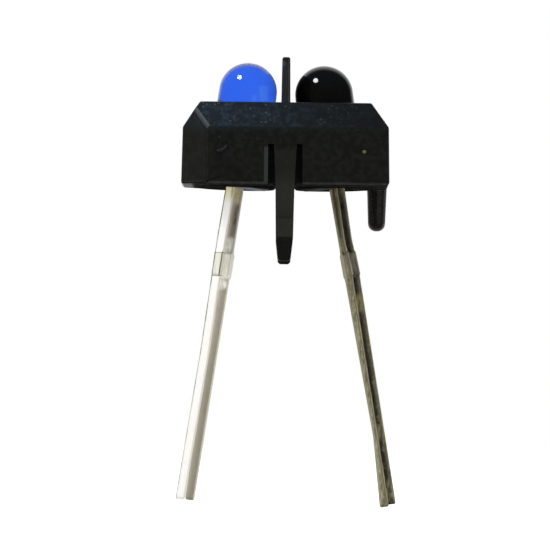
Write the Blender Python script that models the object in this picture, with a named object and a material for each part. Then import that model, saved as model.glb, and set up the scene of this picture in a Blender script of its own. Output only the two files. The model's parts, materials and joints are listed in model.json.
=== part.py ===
"""Reflective optical sensor: a moulded housing holds a blue infrared emitter and a black phototransistor
side by side, both leaning towards the spot that they look at, with two long leads under each.

The origin is the middle of the housing's underside, on the web between the two pockets. +Z points up through
the lenses, +X runs along the housing from the emitter to the detector, and -Y is the front.
Lengths are in millimetres and angles in degrees. MM turns lengths into Blender's metres.
"""

from dataclasses import dataclass
from math import cos, pi, radians, sin, tan

import bmesh
import bpy
from mathutils import Matrix, Vector

MM = 0.001

# Housing block
HOUSING_LENGTH = 10.2
HOUSING_WIDTH = 5.8
HOUSING_HEIGHT = 4.08
SHOULDER_HEIGHT = 2.83
WALL_DRAFT = 1.1
END_SLOPE_RUN = 0.85
SIDE_SLOPE_RUN = 0.9
POLARITY_CHAMFER = 1.3
HIP_FACET_WIDTH = 0.19
RIM_CHAMFER = 0.11
HOUSING_EDGE_ROUND = 0.06

# Barrier between the two lenses
BARRIER_RISE = 2.22
BARRIER_THICKNESS = 0.44
BARRIER_DRAFT = 0.55
BARRIER_EDGE_ROUND = 0.1
BARRIER_ROOT = 0.6

# Snap clips, one in the front wall and one in the back wall
BOARD_THICKNESS = 1.6
CLIP_WINDOW_WIDTH = 1.68
CLIP_WINDOW_HEIGHT = 1.97
CLIP_ROOT_WIDTH = 1.12
CLIP_SEAT_WIDTH = 0.93
CLIP_BARB_WIDTH = 0.84
CLIP_TIP_WIDTH = 0.62
CLIP_TIP_CHAMFER = 0.1
CLIP_THICKNESS = 0.6
CLIP_FLEX_GAP = 0.4
CLIP_RECESS = 0.02
CLIP_ROOT_JOIN = 0.2
BARB_REACH = 0.35
BARB_LAND = 0.98
BARB_TAPER_HEIGHT = 1.08
BARB_PLAY = 0.06
CLIP_TIP_THICKNESS = 0.3
CLIP_EDGE_ROUND = 0.025

# Locating peg at the detector end, in the back corner
PEG_DIAMETER = 0.98
PEG_TIP_DIAMETER = 0.86
PEG_LENGTH = 2.05
PEG_TIP_ROUND = 0.38
PEG_END_MARGIN = 0.03
PEG_BACK_MARGIN = 0.45
PEG_ROOT = 0.5

# Emitter and detector bodies
LENS_WEB = 0.94
LENS_TILT = 7.4
LENS_DOME_RADIUS = 1.43
LENS_BASE_RADIUS = 1.52
LENS_FLANGE_RADIUS = 1.72
LENS_FLANGE_HEIGHT = 0.9
LENS_FLANGE_FLAT = 1.63
LENS_FOOT_ROUND = 0.24
LENS_EDGE_ROUND = 0.08
LENS_BORE_CLEARANCE = 0.04
POCKET_MOUTH_RADIUS = 1.9
POCKET_MOUTH_DEPTH = 0.35

# Lead frames, stamped from one strip and cut apart after moulding
LEAD_PITCH = 2.54
LEAD_WIDTH = 0.5
LEAD_THICKNESS = 0.4
LEAD_EDGE_ROUND = 0.05
LEAD_END_CHAMFER = 0.12
DAM_BAR_DEPTH = 3.3
DAM_BAR_HEIGHT = 1.15
DAM_BAR_STUB = 0.22
DAM_BAR_FLUSH_STUB = 0.07
DAM_BAR_LONG_STUB = 0.42
DAM_BAR_FILLET = 0.28
FRAME_SHOULDER_HEIGHT = 0.4
FRAME_JOG_HEIGHT = 0.35
FRAME_LIMB_WIDTH = 0.45
CARRIER_TOP = 2.5
CARRIER_HALF_WIDTH = 0.45
CARRIER_DEPTH = 0.55
POST_TOP = 2.9
POST_WIDTH = 0.42
POST_GAP = 0.28
POST_CHAMFER = 0.2

# What the carriers hold
CUP_RADIUS = 0.5
CUP_HEIGHT = 0.45
CUP_WALL = 0.1
CUP_FLOOR_RADIUS = 0.26
CUP_DEPTH = 0.27
CUP_STEM_RADIUS = 0.23
CUP_STEM_ROOT = 0.22
CUP_CONE_RISE = 0.15
PAD_LENGTH = 0.86
PAD_WIDTH = 0.74
PAD_THICKNESS = 0.18
EMITTER_CHIP_SIDE = 0.3
EMITTER_CHIP_HEIGHT = 0.18
DETECTOR_CHIP_SIDE = 0.52
DETECTOR_CHIP_HEIGHT = 0.22
WIRE_DIAMETER = 0.06
WIRE_LOOP_RISE = 0.34
WIRE_LANDING_SHARE = 0.7

# How the two devices differ
EMITTER_DOME_RISE = 0.61
EMITTER_FRAME_TURN = 8.8
EMITTER_FRAME_SHIFT = -0.03
EMITTER_LEAD_LENGTH = 15.62
DETECTOR_DOME_RISE = 0.5
DETECTOR_FRAME_TURN = 6.2
DETECTOR_FRAME_SHIFT = 0.06
DETECTOR_LEAD_LENGTH = 15.8
DETECTOR_LONG_LEAD_LENGTH = 15.93

# Each lead's bends, from its root down: (depth that the stretch ends at, splay of the stretch)
CATHODE_BENDS = ((2.6, 9.2), (8.2, 7.8), (EMITTER_LEAD_LENGTH, 8.9))
ANODE_BENDS = ((EMITTER_LEAD_LENGTH, 8.4),)
COLLECTOR_BENDS = ((2.6, 9.0), (4.7, 12.4), (DETECTOR_LEAD_LENGTH, 9.6))
DETECTOR_EMITTER_BENDS = ((12.4, 10.8), (DETECTOR_LONG_LEAD_LENGTH, 6.0))

# Gap kept between two pieces that touch on the real part
SEAT_GAP = 0.02

# How far a cutter stands out past the face that it cuts
CUTTER_REACH = 1.0

# Facets of the round forms
TURNED_SIDES = 40
SMALL_TURNED_SIDES = 24
WIRE_POINTS = 12
WIRE_SIDES = 8
DOME_STEPS = 12
TIP_STEPS = 5
SHARP_ANGLE = 35
MERGE_DISTANCE = 1e-5


@dataclass(frozen=True)
class Lead:
    """One lead: hand is -1 for the front one. Its outer stub is what is left of the strip's dam bar."""

    name: str
    hand: int
    length: float
    outer_stub: float
    bends: tuple


@dataclass(frozen=True)
class Device:
    """One moulded device and its place: side is -1 at the emitter's end, +1 at the detector's."""

    name: str
    side: int
    dome_rise: float
    frame_turn: float
    frame_shift: float
    carrier: Lead
    post: Lead


EMITTER = Device(
    "emitter",
    -1,
    EMITTER_DOME_RISE,
    EMITTER_FRAME_TURN,
    EMITTER_FRAME_SHIFT,
    Lead("cathode_lead", -1, EMITTER_LEAD_LENGTH, DAM_BAR_FLUSH_STUB, CATHODE_BENDS),
    Lead("anode_lead", 1, EMITTER_LEAD_LENGTH, DAM_BAR_LONG_STUB, ANODE_BENDS),
)
DETECTOR = Device(
    "detector",
    1,
    DETECTOR_DOME_RISE,
    DETECTOR_FRAME_TURN,
    DETECTOR_FRAME_SHIFT,
    Lead("collector_lead", -1, DETECTOR_LEAD_LENGTH, DAM_BAR_LONG_STUB, COLLECTOR_BENDS),
    Lead("emitter_lead", 1, DETECTOR_LONG_LEAD_LENGTH, DAM_BAR_LONG_STUB, DETECTOR_EMITTER_BENDS),
)


def material(name, colour, roughness, metallic=0.0, transmission=0.0):
    """A Principled material with one finish."""
    made = bpy.data.materials.new(name)
    made.use_nodes = True
    shader = made.node_tree.nodes["Principled BSDF"]
    shader.inputs["Base Color"].default_value = (*colour, 1.0)
    shader.inputs["Roughness"].default_value = roughness
    shader.inputs["Metallic"].default_value = metallic
    shader.inputs["Transmission Weight"].default_value = transmission
    return made


def add_object(name, shape, finish=None):
    """Puts a bmesh made in millimetres into the scene, in metres."""
    bmesh.ops.triangulate(shape, faces=shape.faces)
    bmesh.ops.recalc_face_normals(shape, faces=shape.faces)
    bmesh.ops.scale(shape, vec=(MM, MM, MM), verts=shape.verts)
    mesh = bpy.data.meshes.new(name)
    shape.to_mesh(mesh)
    shape.free()
    mesh.shade_smooth()
    mesh.set_sharp_from_angle(angle=radians(SHARP_ANGLE))
    made = bpy.data.objects.new(name, mesh)
    bpy.context.scene.collection.objects.link(made)
    if finish:
        mesh.materials.append(finish)
    return made


def helper(name, shape):
    """An object that only cuts or joins another one."""
    made = add_object(name, shape)
    made.hide_render = True
    made.display_type = "WIRE"
    return made


def combine(target, operation, others, solver="EXACT"):
    """Cuts the others from the target, or joins them to it, in turn."""
    for other in others:
        step = target.modifiers.new(other.name, "BOOLEAN")
        step.operation = operation
        step.solver = solver
        step.object = other


def plane_off(shape, point, normal):
    """Cuts a bmesh with a plane, drops what lies on the normal's side and closes the cut."""
    everything = shape.verts[:] + shape.edges[:] + shape.faces[:]
    bmesh.ops.bisect_plane(
        shape, geom=everything, dist=MERGE_DISTANCE, plane_co=point, plane_no=normal, clear_outer=True
    )
    open_edges = [edge for edge in shape.edges if edge.is_boundary]
    if open_edges:
        bmesh.ops.holes_fill(shape, edges=open_edges)


def block(low, high):
    """A box between two corners."""
    shape = bmesh.new()
    middle = (Vector(low) + Vector(high)) / 2
    size = Vector(high) - Vector(low)
    bmesh.ops.create_cube(shape, size=1.0, matrix=Matrix.Translation(middle) @ Matrix.Diagonal((*size, 1.0)))
    return shape


def round_edges(shape, width, segments, wanted=lambda edge: True):
    """Rounds the edges that the test picks."""
    edges = [edge for edge in shape.edges if wanted(edge)]
    bmesh.ops.bevel(shape, geom=edges, offset=width, segments=segments, profile=0.5, affect="EDGES")


def extruded(outline, plane, low, high):
    """Extrudes an outline from low to high along the axis that its plane leaves out."""
    axes = {"XZ": (0, 2, 1), "YZ": (1, 2, 0)}[plane]
    shape = bmesh.new()
    corners = []
    for a, b in outline:
        place = [0.0, 0.0, 0.0]
        place[axes[0]], place[axes[1]], place[axes[2]] = a, b, low
        corners.append(shape.verts.new(place))
    face = shape.faces.new(corners)
    swept = bmesh.ops.extrude_face_region(shape, geom=[face])["geom"]
    shift = [0.0, 0.0, 0.0]
    shift[axes[2]] = high - low
    bmesh.ops.translate(shape, vec=shift, verts=[v for v in swept if isinstance(v, bmesh.types.BMVert)])
    return shape


def turned(profile, sides):
    """Turns a profile of (radius, height) points about Z. Its first and last points lie on the axis."""
    shape = bmesh.new()
    points = [shape.verts.new((radius, 0.0, height)) for radius, height in profile]
    edges = [shape.edges.new(pair) for pair in zip(points, points[1:])]
    bmesh.ops.spin(shape, geom=points + edges, axis=(0, 0, 1), cent=(0, 0, 0), angle=2 * pi, steps=sides)
    bmesh.ops.remove_doubles(shape, verts=shape.verts, dist=MERGE_DISTANCE)
    return shape


def arc(centre, radius, start, end, steps):
    """Points of an arc about (radius, height) centre, from one angle to another."""
    angles = [radians(start + (end - start) * i / steps) for i in range(steps + 1)]
    return [(centre[0] + radius * cos(angle), centre[1] + radius * sin(angle)) for angle in angles]


def grown(outline, amount):
    """Moves each side of a counterclockwise outline outwards and joins the sides again."""
    points = [Vector(point) for point in outline]
    moved = []
    for i, point in enumerate(points):
        before = (point - points[i - 1]).normalized()
        after = (points[(i + 1) % len(points)] - point).normalized()
        normal_before = Vector((before.y, -before.x))
        normal_after = Vector((after.y, -after.x))
        mitre = (normal_before + normal_after).normalized()
        moved.append(point + mitre * (amount / mitre.dot(normal_before)))
    return [(point.x, point.y) for point in moved]


def bore_radius():
    """Radius of the bore at the housing's top, round the dome's end of the lens body."""
    return LENS_DOME_RADIUS + LENS_BORE_CLEARANCE


def device_x():
    """Distance of each device's axis from the middle, at the housing's underside."""
    tilt = radians(LENS_TILT)
    return LENS_WEB / 2 + bore_radius() / cos(tilt) + HOUSING_HEIGHT * tan(tilt)


def seat(device):
    """Takes a device's own frame, axis along Z and underside at 0, to its place in the housing."""
    lean = Matrix.Rotation(radians(-device.side * LENS_TILT), 4, "Y")
    return Matrix.Translation((device.side * device_x(), 0.0, 0.0)) @ lean


def frame_turn(device):
    """Turns the lead frame about the device's axis and sets it off centre, as it was moulded in."""
    turn = Matrix.Rotation(radians(device.side * device.frame_turn), 4, "Z")
    return Matrix.Translation((device.side * device.frame_shift, 0.0, 0.0)) @ turn


def place(shape, device):
    """Seats a bmesh of the device's frame in the housing."""
    bmesh.ops.transform(shape, matrix=seat(device) @ frame_turn(device), verts=shape.verts)


def bent_out(lead, depth):
    """How far a lead has splayed out from the device's axis at a depth below the device."""
    reach, start = 0.0, 0.0
    for end, splay in lead.bends:
        reach += tan(radians(splay - LENS_TILT)) * max(min(depth, end) - start, 0.0)
        start = end
    return reach


def place_lead(shape, device, lead):
    """Seats a lead: below the device's underside each stretch splays out by its own angle."""
    for end, _ in lead.bends[:-1]:
        everything = shape.verts[:] + shape.edges[:] + shape.faces[:]
        bmesh.ops.bisect_plane(
            shape, geom=everything, dist=MERGE_DISTANCE, plane_co=(0, 0, -end), plane_no=(0, 0, 1)
        )
    bmesh.ops.transform(shape, matrix=frame_turn(device), verts=shape.verts)
    for vert in shape.verts:
        vert.co.x += device.side * bent_out(lead, -vert.co.z)
    bmesh.ops.transform(shape, matrix=seat(device), verts=shape.verts)


def dome_height(device):
    """Height of the dome's centre along the device's axis."""
    return (HOUSING_HEIGHT + device.dome_rise) / cos(radians(LENS_TILT))


def hip_facet(side, on_slope, on_chamfer):
    """Point and normal of the narrow facet between a side slope and the polarity chamfer beside it."""
    slope = Vector((0, side * (HOUSING_HEIGHT - SHOULDER_HEIGHT), SIDE_SLOPE_RUN)).normalized()
    chamfer = Vector((-1, side, 0)).normalized()
    y = on_slope[1]
    hip = Vector((on_chamfer[0] + side * (y - on_chamfer[1]), y, on_slope[2]))
    normal = (slope + chamfer).normalized()
    depth = HIP_FACET_WIDTH / 2 * tan(slope.angle(chamfer) / 2)
    return hip - normal * depth, normal


def housing_block():
    """The moulded block: drafted walls, slopes on all four sides of the top, and the polarity chamfers."""
    half_length, half_width = HOUSING_LENGTH / 2, HOUSING_WIDTH / 2
    shape = block((-half_length, -half_width, 0.0), (half_length, half_width, HOUSING_HEIGHT))
    draft = radians(WALL_DRAFT)
    drawn_in = SHOULDER_HEIGHT * tan(draft)
    slope_rise = HOUSING_HEIGHT - SHOULDER_HEIGHT
    for side in (-1, 1):
        plane_off(shape, (side * half_length, 0, 0), (side * cos(draft), 0, sin(draft)))
        plane_off(shape, (0, side * half_width, 0), (0, side * cos(draft), sin(draft)))
        end_shoulder = (side * (half_length - drawn_in), 0, SHOULDER_HEIGHT)
        plane_off(shape, end_shoulder, (side * slope_rise, 0, END_SLOPE_RUN))
        side_shoulder = (0, side * (half_width - drawn_in), SHOULDER_HEIGHT)
        plane_off(shape, side_shoulder, (0, side * slope_rise, SIDE_SLOPE_RUN))
        chamfer_start = (POLARITY_CHAMFER - half_length, side * half_width, 0)
        plane_off(shape, chamfer_start, (-1, side, 0))
        plane_off(shape, *hip_facet(side, side_shoulder, chamfer_start))
        plane_off(shape, (side * half_length, 0, RIM_CHAMFER), (side, 0, -1))
        plane_off(shape, (0, side * half_width, RIM_CHAMFER), (0, side, -1))
        plane_off(shape, (*chamfer_start[:2], RIM_CHAMFER), (-cos(pi / 4), side * cos(pi / 4), -1))
    round_edges(shape, HOUSING_EDGE_ROUND, 2)
    return shape


def barrier():
    """The light barrier on the web between the two bores, as long as the flat top."""
    half_length = HOUSING_WIDTH / 2 - SHOULDER_HEIGHT * tan(radians(WALL_DRAFT)) - SIDE_SLOPE_RUN
    half = BARRIER_THICKNESS / 2
    top = HOUSING_HEIGHT + BARRIER_RISE
    shape = block((-half, -half_length, HOUSING_HEIGHT - BARRIER_ROOT), (half, half_length, top))
    draft = radians(BARRIER_DRAFT)
    for side in (-1, 1):
        plane_off(shape, (side * half, 0, HOUSING_HEIGHT), (side * cos(draft), 0, sin(draft)))
        plane_off(shape, (0, side * half_length, HOUSING_HEIGHT), (0, side * cos(draft), sin(draft)))
    round_edges(shape, BARRIER_EDGE_ROUND, 3, lambda edge: max(v.co.z for v in edge.verts) > HOUSING_HEIGHT)
    return shape


def clip_window(side):
    """The opening in the wall round a clip, with room behind for the clip to flex."""
    half = CLIP_WINDOW_WIDTH / 2
    back = HOUSING_WIDTH / 2 - CLIP_RECESS - CLIP_THICKNESS - CLIP_FLEX_GAP
    ends = sorted((side * back, side * HOUSING_WIDTH))
    return block((-half, ends[0], -CUTTER_REACH), (half, ends[1], CLIP_WINDOW_HEIGHT))


def clip_outline_from_the_side():
    """The clip's outline as (distance from the middle, height), counterclockwise, with its barb outwards."""
    outer = HOUSING_WIDTH / 2 - CLIP_RECESS
    inner = outer - CLIP_THICKNESS
    root = CLIP_WINDOW_HEIGHT + CLIP_ROOT_JOIN
    drawn_in = root * tan(radians(WALL_DRAFT))
    ledge = -(BOARD_THICKNESS + BARB_PLAY)
    land_end = ledge - BARB_LAND
    tip = land_end - BARB_TAPER_HEIGHT
    return [
        (inner - drawn_in, root),
        (inner, 0.0),
        (inner, tip + CLIP_EDGE_ROUND),
        (inner + CLIP_EDGE_ROUND, tip),
        (inner + CLIP_TIP_THICKNESS, tip),
        (outer + BARB_REACH, land_end),
        (outer + BARB_REACH, ledge - CLIP_EDGE_ROUND),
        (outer + BARB_REACH - CLIP_EDGE_ROUND, ledge),
        (outer, ledge),
        (outer, 0.0),
        (outer - drawn_in, root),
    ]


def clip_outline_from_the_front():
    """The clip's outline as (across, height): it narrows from its root to its tip."""
    ledge = -(BOARD_THICKNESS + BARB_PLAY)
    land_end = ledge - BARB_LAND
    tip = land_end - BARB_TAPER_HEIGHT
    right = [
        (CLIP_TIP_WIDTH / 2 - CLIP_TIP_CHAMFER, tip),
        (CLIP_TIP_WIDTH / 2, tip + CLIP_TIP_CHAMFER),
        (CLIP_BARB_WIDTH / 2, land_end),
        (CLIP_SEAT_WIDTH / 2, 0.0),
        (CLIP_ROOT_WIDTH / 2, CLIP_WINDOW_HEIGHT),
        (CLIP_ROOT_WIDTH / 2, CLIP_WINDOW_HEIGHT + CLIP_ROOT_JOIN),
    ]
    return right + [(-across, height) for across, height in reversed(right)]


def clip(side):
    """One snap clip: the form that fits both its outline from the side and its outline from the front."""
    side_view = [(side * out, height) for out, height in clip_outline_from_the_side()]
    solid = helper(f"clip_form_{side}", extruded(side_view, "YZ", -CLIP_ROOT_WIDTH, CLIP_ROOT_WIDTH))
    reach = HOUSING_WIDTH
    front_view = helper(f"clip_front_{side}", extruded(clip_outline_from_the_front(), "XZ", -reach, reach))
    combine(solid, "INTERSECT", [front_view])
    return solid


def peg():
    """The locating peg, which tapers to a rounded tip."""
    root, tip = PEG_DIAMETER / 2, PEG_TIP_DIAMETER / 2
    rounding = arc((tip - PEG_TIP_ROUND, PEG_TIP_ROUND - PEG_LENGTH), PEG_TIP_ROUND, -90, 0, TIP_STEPS)
    profile = [(0.0, -PEG_LENGTH), *rounding, (root, 0.0), (root, PEG_ROOT), (0.0, PEG_ROOT)]
    shape = turned(profile, SMALL_TURNED_SIDES)
    x = HOUSING_LENGTH / 2 - root - PEG_END_MARGIN
    y = HOUSING_WIDTH / 2 - root - PEG_BACK_MARGIN
    bmesh.ops.translate(shape, vec=(x, y, 0), verts=shape.verts)
    return shape


def pocket(device):
    """The stepped bore that a device is pushed into from below, with a wider mouth."""
    gap = LENS_BORE_CLEARANCE
    step = LENS_FLANGE_HEIGHT + SEAT_GAP
    flange = LENS_FLANGE_RADIUS + gap
    dome = dome_height(device)
    profile = [
        (0.0, -CUTTER_REACH),
        (POCKET_MOUTH_RADIUS, -CUTTER_REACH),
        (POCKET_MOUTH_RADIUS, 0.0),
        (flange, POCKET_MOUTH_DEPTH),
        (flange, step),
        (LENS_BASE_RADIUS + gap, step),
        (bore_radius(), dome),
        (bore_radius(), dome + LENS_DOME_RADIUS),
        (0.0, dome + LENS_DOME_RADIUS),
    ]
    shape = turned(profile, TURNED_SIDES)
    bmesh.ops.transform(shape, matrix=seat(device), verts=shape.verts)
    return shape


def make_housing(finish):
    """The one moulding that carries everything: block, barrier, clips and peg."""
    made = add_object("housing", housing_block(), finish)
    windows = [helper(f"clip_window_{side}", clip_window(side)) for side in (-1, 1)]
    raised = [helper("barrier_form", barrier()), helper("peg_form", peg())]
    pockets = [helper(f"{device.name}_pocket", pocket(device)) for device in (EMITTER, DETECTOR)]
    combine(made, "DIFFERENCE", windows)
    combine(made, "UNION", [*raised, clip(-1), clip(1)])
    combine(made, "DIFFERENCE", pockets)
    return made


def limb(device_side_outline, hand):
    """Turns an outline of (distance from the axis, height) points to the hand's side of the device."""
    return [(hand * out, height) for out, height in device_side_outline]


def frame_half_span():
    """Distance of the frame's outer edges from the axis: the post stands clear of the cup."""
    return CUP_RADIUS + POST_GAP + POST_WIDTH


def stub(edge, length, away):
    """One stub of the dam bar beside an edge, from its top down, with a fillet above and below it."""
    top, low = -DAM_BAR_DEPTH, -DAM_BAR_DEPTH - DAM_BAR_HEIGHT
    fillet = min(DAM_BAR_FILLET, length)
    flank = edge + away * (fillet - fillet * cos(pi / 4))
    end = edge + away * length
    above = [(edge, top + fillet), (flank, top + fillet - fillet * sin(pi / 4)), (end, top)]
    below = [(end, low), (flank, low - fillet + fillet * sin(pi / 4)), (edge, low - fillet)]
    return above + below


def lead_tail(lead):
    """The lead below its frame, from its inner edge round its end, with the dam bar's stubs."""
    inner = (LEAD_PITCH - LEAD_WIDTH) / 2
    outer = (LEAD_PITCH + LEAD_WIDTH) / 2
    end = -lead.length
    return [
        *stub(inner, DAM_BAR_STUB, -1),
        (inner, end + LEAD_END_CHAMFER),
        (inner + LEAD_END_CHAMFER, end),
        (outer - LEAD_END_CHAMFER, end),
        (outer, end + LEAD_END_CHAMFER),
        *reversed(stub(outer, lead.outer_stub, 1)),
    ]


def carrier_outline(lead):
    """The lead whose frame widens over the axis to carry the chip."""
    inner = (LEAD_PITCH - LEAD_WIDTH) / 2
    outer = (LEAD_PITCH + LEAD_WIDTH) / 2
    jog = FRAME_SHOULDER_HEIGHT + FRAME_JOG_HEIGHT
    span = frame_half_span()
    limb_inner = span - FRAME_LIMB_WIDTH
    return [
        (-CARRIER_HALF_WIDTH, CARRIER_TOP),
        (-CARRIER_HALF_WIDTH, CARRIER_TOP - CARRIER_DEPTH),
        (limb_inner, jog + CARRIER_DEPTH),
        (limb_inner, jog),
        (inner, FRAME_SHOULDER_HEIGHT),
        *lead_tail(lead),
        (outer, FRAME_SHOULDER_HEIGHT),
        (span, jog),
        (span, CARRIER_TOP - CARRIER_DEPTH),
        (CARRIER_HALF_WIDTH, CARRIER_TOP),
    ]


def post_outline(lead):
    """The lead whose frame ends in a narrow post that the bond wire lands on."""
    inner = (LEAD_PITCH - LEAD_WIDTH) / 2
    outer = (LEAD_PITCH + LEAD_WIDTH) / 2
    jog = FRAME_SHOULDER_HEIGHT + FRAME_JOG_HEIGHT
    span = frame_half_span()
    post_inner = span - POST_WIDTH
    return [
        (post_inner, POST_TOP),
        (post_inner, jog),
        (inner, FRAME_SHOULDER_HEIGHT),
        *lead_tail(lead),
        (outer, FRAME_SHOULDER_HEIGHT),
        (span, jog),
        (span, POST_TOP - POST_CHAMFER),
        (span - POST_CHAMFER, POST_TOP),
    ]


def stamping(outline, hand, growth=0.0):
    """A lead cut from the strip, on the hand's side. Grown, it is the room that the lead takes up."""
    half = LEAD_THICKNESS / 2 + growth
    shape = extruded(limb(grown(outline, growth), hand), "YZ", -half, half)
    if not growth:
        round_edges(shape, LEAD_EDGE_ROUND, 2)
    return shape


def cup(growth=0.0):
    """The reflector cup on the emitter's carrier. Grown, it is the solid space that the cup takes up."""
    top = CARRIER_TOP + CUP_HEIGHT
    outside = [
        (0.0, CARRIER_TOP - CUP_STEM_ROOT - growth),
        (CUP_STEM_RADIUS + growth, CARRIER_TOP - CUP_STEM_ROOT - growth),
        (CUP_RADIUS + growth, CARRIER_TOP + CUP_CONE_RISE - growth),
        (CUP_RADIUS + growth, top + growth),
    ]
    bowl = [(CUP_RADIUS - CUP_WALL, top), (CUP_FLOOR_RADIUS, top - CUP_DEPTH), (0.0, top - CUP_DEPTH)]
    return turned(outside + ([(0.0, top + growth)] if growth else bowl), SMALL_TURNED_SIDES)


def pad(growth=0.0):
    """The flat pad on the detector's carrier."""
    x, y = PAD_WIDTH / 2 + growth, PAD_LENGTH / 2 + growth
    top = CARRIER_TOP + PAD_THICKNESS / 2
    return block((-x, -y, top - PAD_THICKNESS - growth), (x, y, top + growth))


def chip_seat(device):
    """Height of the face that the chip sits on."""
    if device is EMITTER:
        return CARRIER_TOP + CUP_HEIGHT - CUP_DEPTH
    return CARRIER_TOP + PAD_THICKNESS / 2


def chip_size(device):
    """Side and height of the chip."""
    if device is EMITTER:
        return EMITTER_CHIP_SIDE, EMITTER_CHIP_HEIGHT
    return DETECTOR_CHIP_SIDE, DETECTOR_CHIP_HEIGHT


def chip(device, growth=0.0):
    """The chip, a gap above its seat."""
    side, height = chip_size(device)
    half = side / 2 + growth
    low = chip_seat(device) + SEAT_GAP
    return block((-half, -half, low - growth), (half, half, low + height + growth))


def wire_path(device):
    """Points of the bond wire's loop as (along, height), from the chip's top to the post."""
    start = chip_seat(device) + 2 * SEAT_GAP + chip_size(device)[1] + WIRE_DIAMETER / 2
    end = POST_TOP + SEAT_GAP + WIRE_DIAMETER / 2
    reach = frame_half_span() - WIRE_LANDING_SHARE * POST_WIDTH
    shares = [i / WIRE_POINTS for i in range(WIRE_POINTS + 1)]
    heights = [start + (end - start) * share + WIRE_LOOP_RISE * sin(pi * share) for share in shares]
    return [Vector((reach * share, height)) for share, height in zip(shares, heights)]


def wire(device, growth=0.0):
    """The bond wire as a tube along its loop, towards the post's side."""
    radius = WIRE_DIAMETER / 2 + growth
    points = wire_path(device)
    shape = bmesh.new()
    rings = []
    for i, point in enumerate(points):
        along = (points[min(i + 1, WIRE_POINTS)] - points[max(i - 1, 0)]).normalized()
        ring = []
        for k in range(WIRE_SIDES):
            angle = 2 * pi * k / WIRE_SIDES
            out = point + Vector((-along.y, along.x)) * (radius * cos(angle))
            ring.append(shape.verts.new((radius * sin(angle), out.x, out.y)))
        rings.append(ring)
    for first, second in zip(rings, rings[1:]):
        for k in range(WIRE_SIDES):
            shape.faces.new((first[k - 1], first[k], second[k], second[k - 1]))
    shape.faces.new(rings[0])
    shape.faces.new(rings[-1])
    return shape


def lens_body(device):
    """The epoxy body: flange, drafted barrel and dome."""
    dome = dome_height(device)
    foot, edge = LENS_FOOT_ROUND, LENS_EDGE_ROUND
    profile = [
        (0.0, 0.0),
        *arc((LENS_FLANGE_RADIUS - foot, foot), foot, -90, 0, TIP_STEPS),
        (LENS_FLANGE_RADIUS, LENS_FLANGE_HEIGHT - edge),
        (LENS_FLANGE_RADIUS - edge, LENS_FLANGE_HEIGHT),
        (LENS_BASE_RADIUS, LENS_FLANGE_HEIGHT),
        *arc((0.0, dome), LENS_DOME_RADIUS, 0, 90, DOME_STEPS)[:-1],
        (0.0, dome + LENS_DOME_RADIUS),
    ]
    return turned(profile, TURNED_SIDES)


def flange_flat(device):
    """What the flat on the flange, on the carrier lead's side, takes away."""
    reach = 2 * LENS_FLANGE_RADIUS
    top = LENS_FLANGE_HEIGHT + SEAT_GAP
    return block((-reach, -reach, -CUTTER_REACH), (reach, -LENS_FLANGE_FLAT, top))


def make_device(device, epoxy, plated, silicon, gold):
    """The device's lens, two leads, chip and bond wire. The carrier lead is at the front."""
    carrier, post = device.carrier, device.post
    holder = cup if device is EMITTER else pad

    def seated(shape):
        place(shape, device)
        return shape

    def cast(shape):
        bmesh.ops.transform(shape, matrix=seat(device), verts=shape.verts)
        return shape

    def seated_lead(lead, outline, growth=0.0):
        shape = stamping(outline(lead), lead.hand, growth)
        place_lead(shape, device, lead)
        return shape

    carrier_lead = add_object(f"{device.name}_{carrier.name}", seated_lead(carrier, carrier_outline), plated)
    add_object(f"{device.name}_{post.name}", seated_lead(post, post_outline), plated)
    combine(carrier_lead, "UNION", [helper(f"{device.name}_chip_holder", seated(holder()))])
    add_object(f"{device.name}_chip", seated(chip(device)), silicon)
    add_object(f"{device.name}_bond_wire", seated(wire(device)), gold)

    lens = add_object(f"{device.name}_lens", cast(lens_body(device)), epoxy)
    hollows = {
        "flat": cast(flange_flat(device)),
        "carrier_space": seated_lead(carrier, carrier_outline, SEAT_GAP),
        "post_space": seated_lead(post, post_outline, SEAT_GAP),
        "holder_space": seated(holder(SEAT_GAP)),
        "chip_space": seated(chip(device, SEAT_GAP)),
        "wire_space": seated(wire(device, SEAT_GAP)),
    }
    cutters = [helper(f"{device.name}_{name}", shape) for name, shape in hollows.items()]
    combine(lens, "DIFFERENCE", cutters, solver="MANIFOLD")


def main():
    """Clears the scene and builds the sensor."""
    for old in list(bpy.data.objects):
        bpy.data.objects.remove(old)
    black_plastic = material("black_moulded_plastic", (0.012, 0.012, 0.011), 0.42)
    blue_epoxy = material("blue_epoxy", (0.012, 0.09, 0.75), 0.12, transmission=0.6)
    black_epoxy = material("black_epoxy", (0.008, 0.008, 0.009), 0.16)
    tinned = material("tinned_steel", (0.55, 0.53, 0.5), 0.3, metallic=1.0)
    silicon = material("chip_silicon", (0.12, 0.12, 0.15), 0.25, metallic=0.4)
    gold = material("gold_wire", (0.9, 0.62, 0.2), 0.25, metallic=1.0)
    make_housing(black_plastic)
    make_device(EMITTER, blue_epoxy, tinned, silicon, gold)
    make_device(DETECTOR, black_epoxy, tinned, silicon, gold)


main()
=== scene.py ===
"""Looks of a reflective optical sensor: a black moulded housing with a blue emitter and a black detector.

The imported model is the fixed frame, in metres: +Z points up through the lenses, +X runs from the emitter
to the detector and -Y is the front. The script dresses the housing and the leads, casts the two epoxy bodies
anew round their lead frames, bonds the chips, adds the dust that lies on the moulding, and sets up a small
white studio.
"""

from __future__ import annotations

import json
import logging
from collections.abc import Sequence
from dataclasses import dataclass
from enum import Enum
from math import cos, pi, radians, sin, tan
from typing import Any

import bmesh
import bpy
from mathutils import Matrix, Vector

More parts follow.
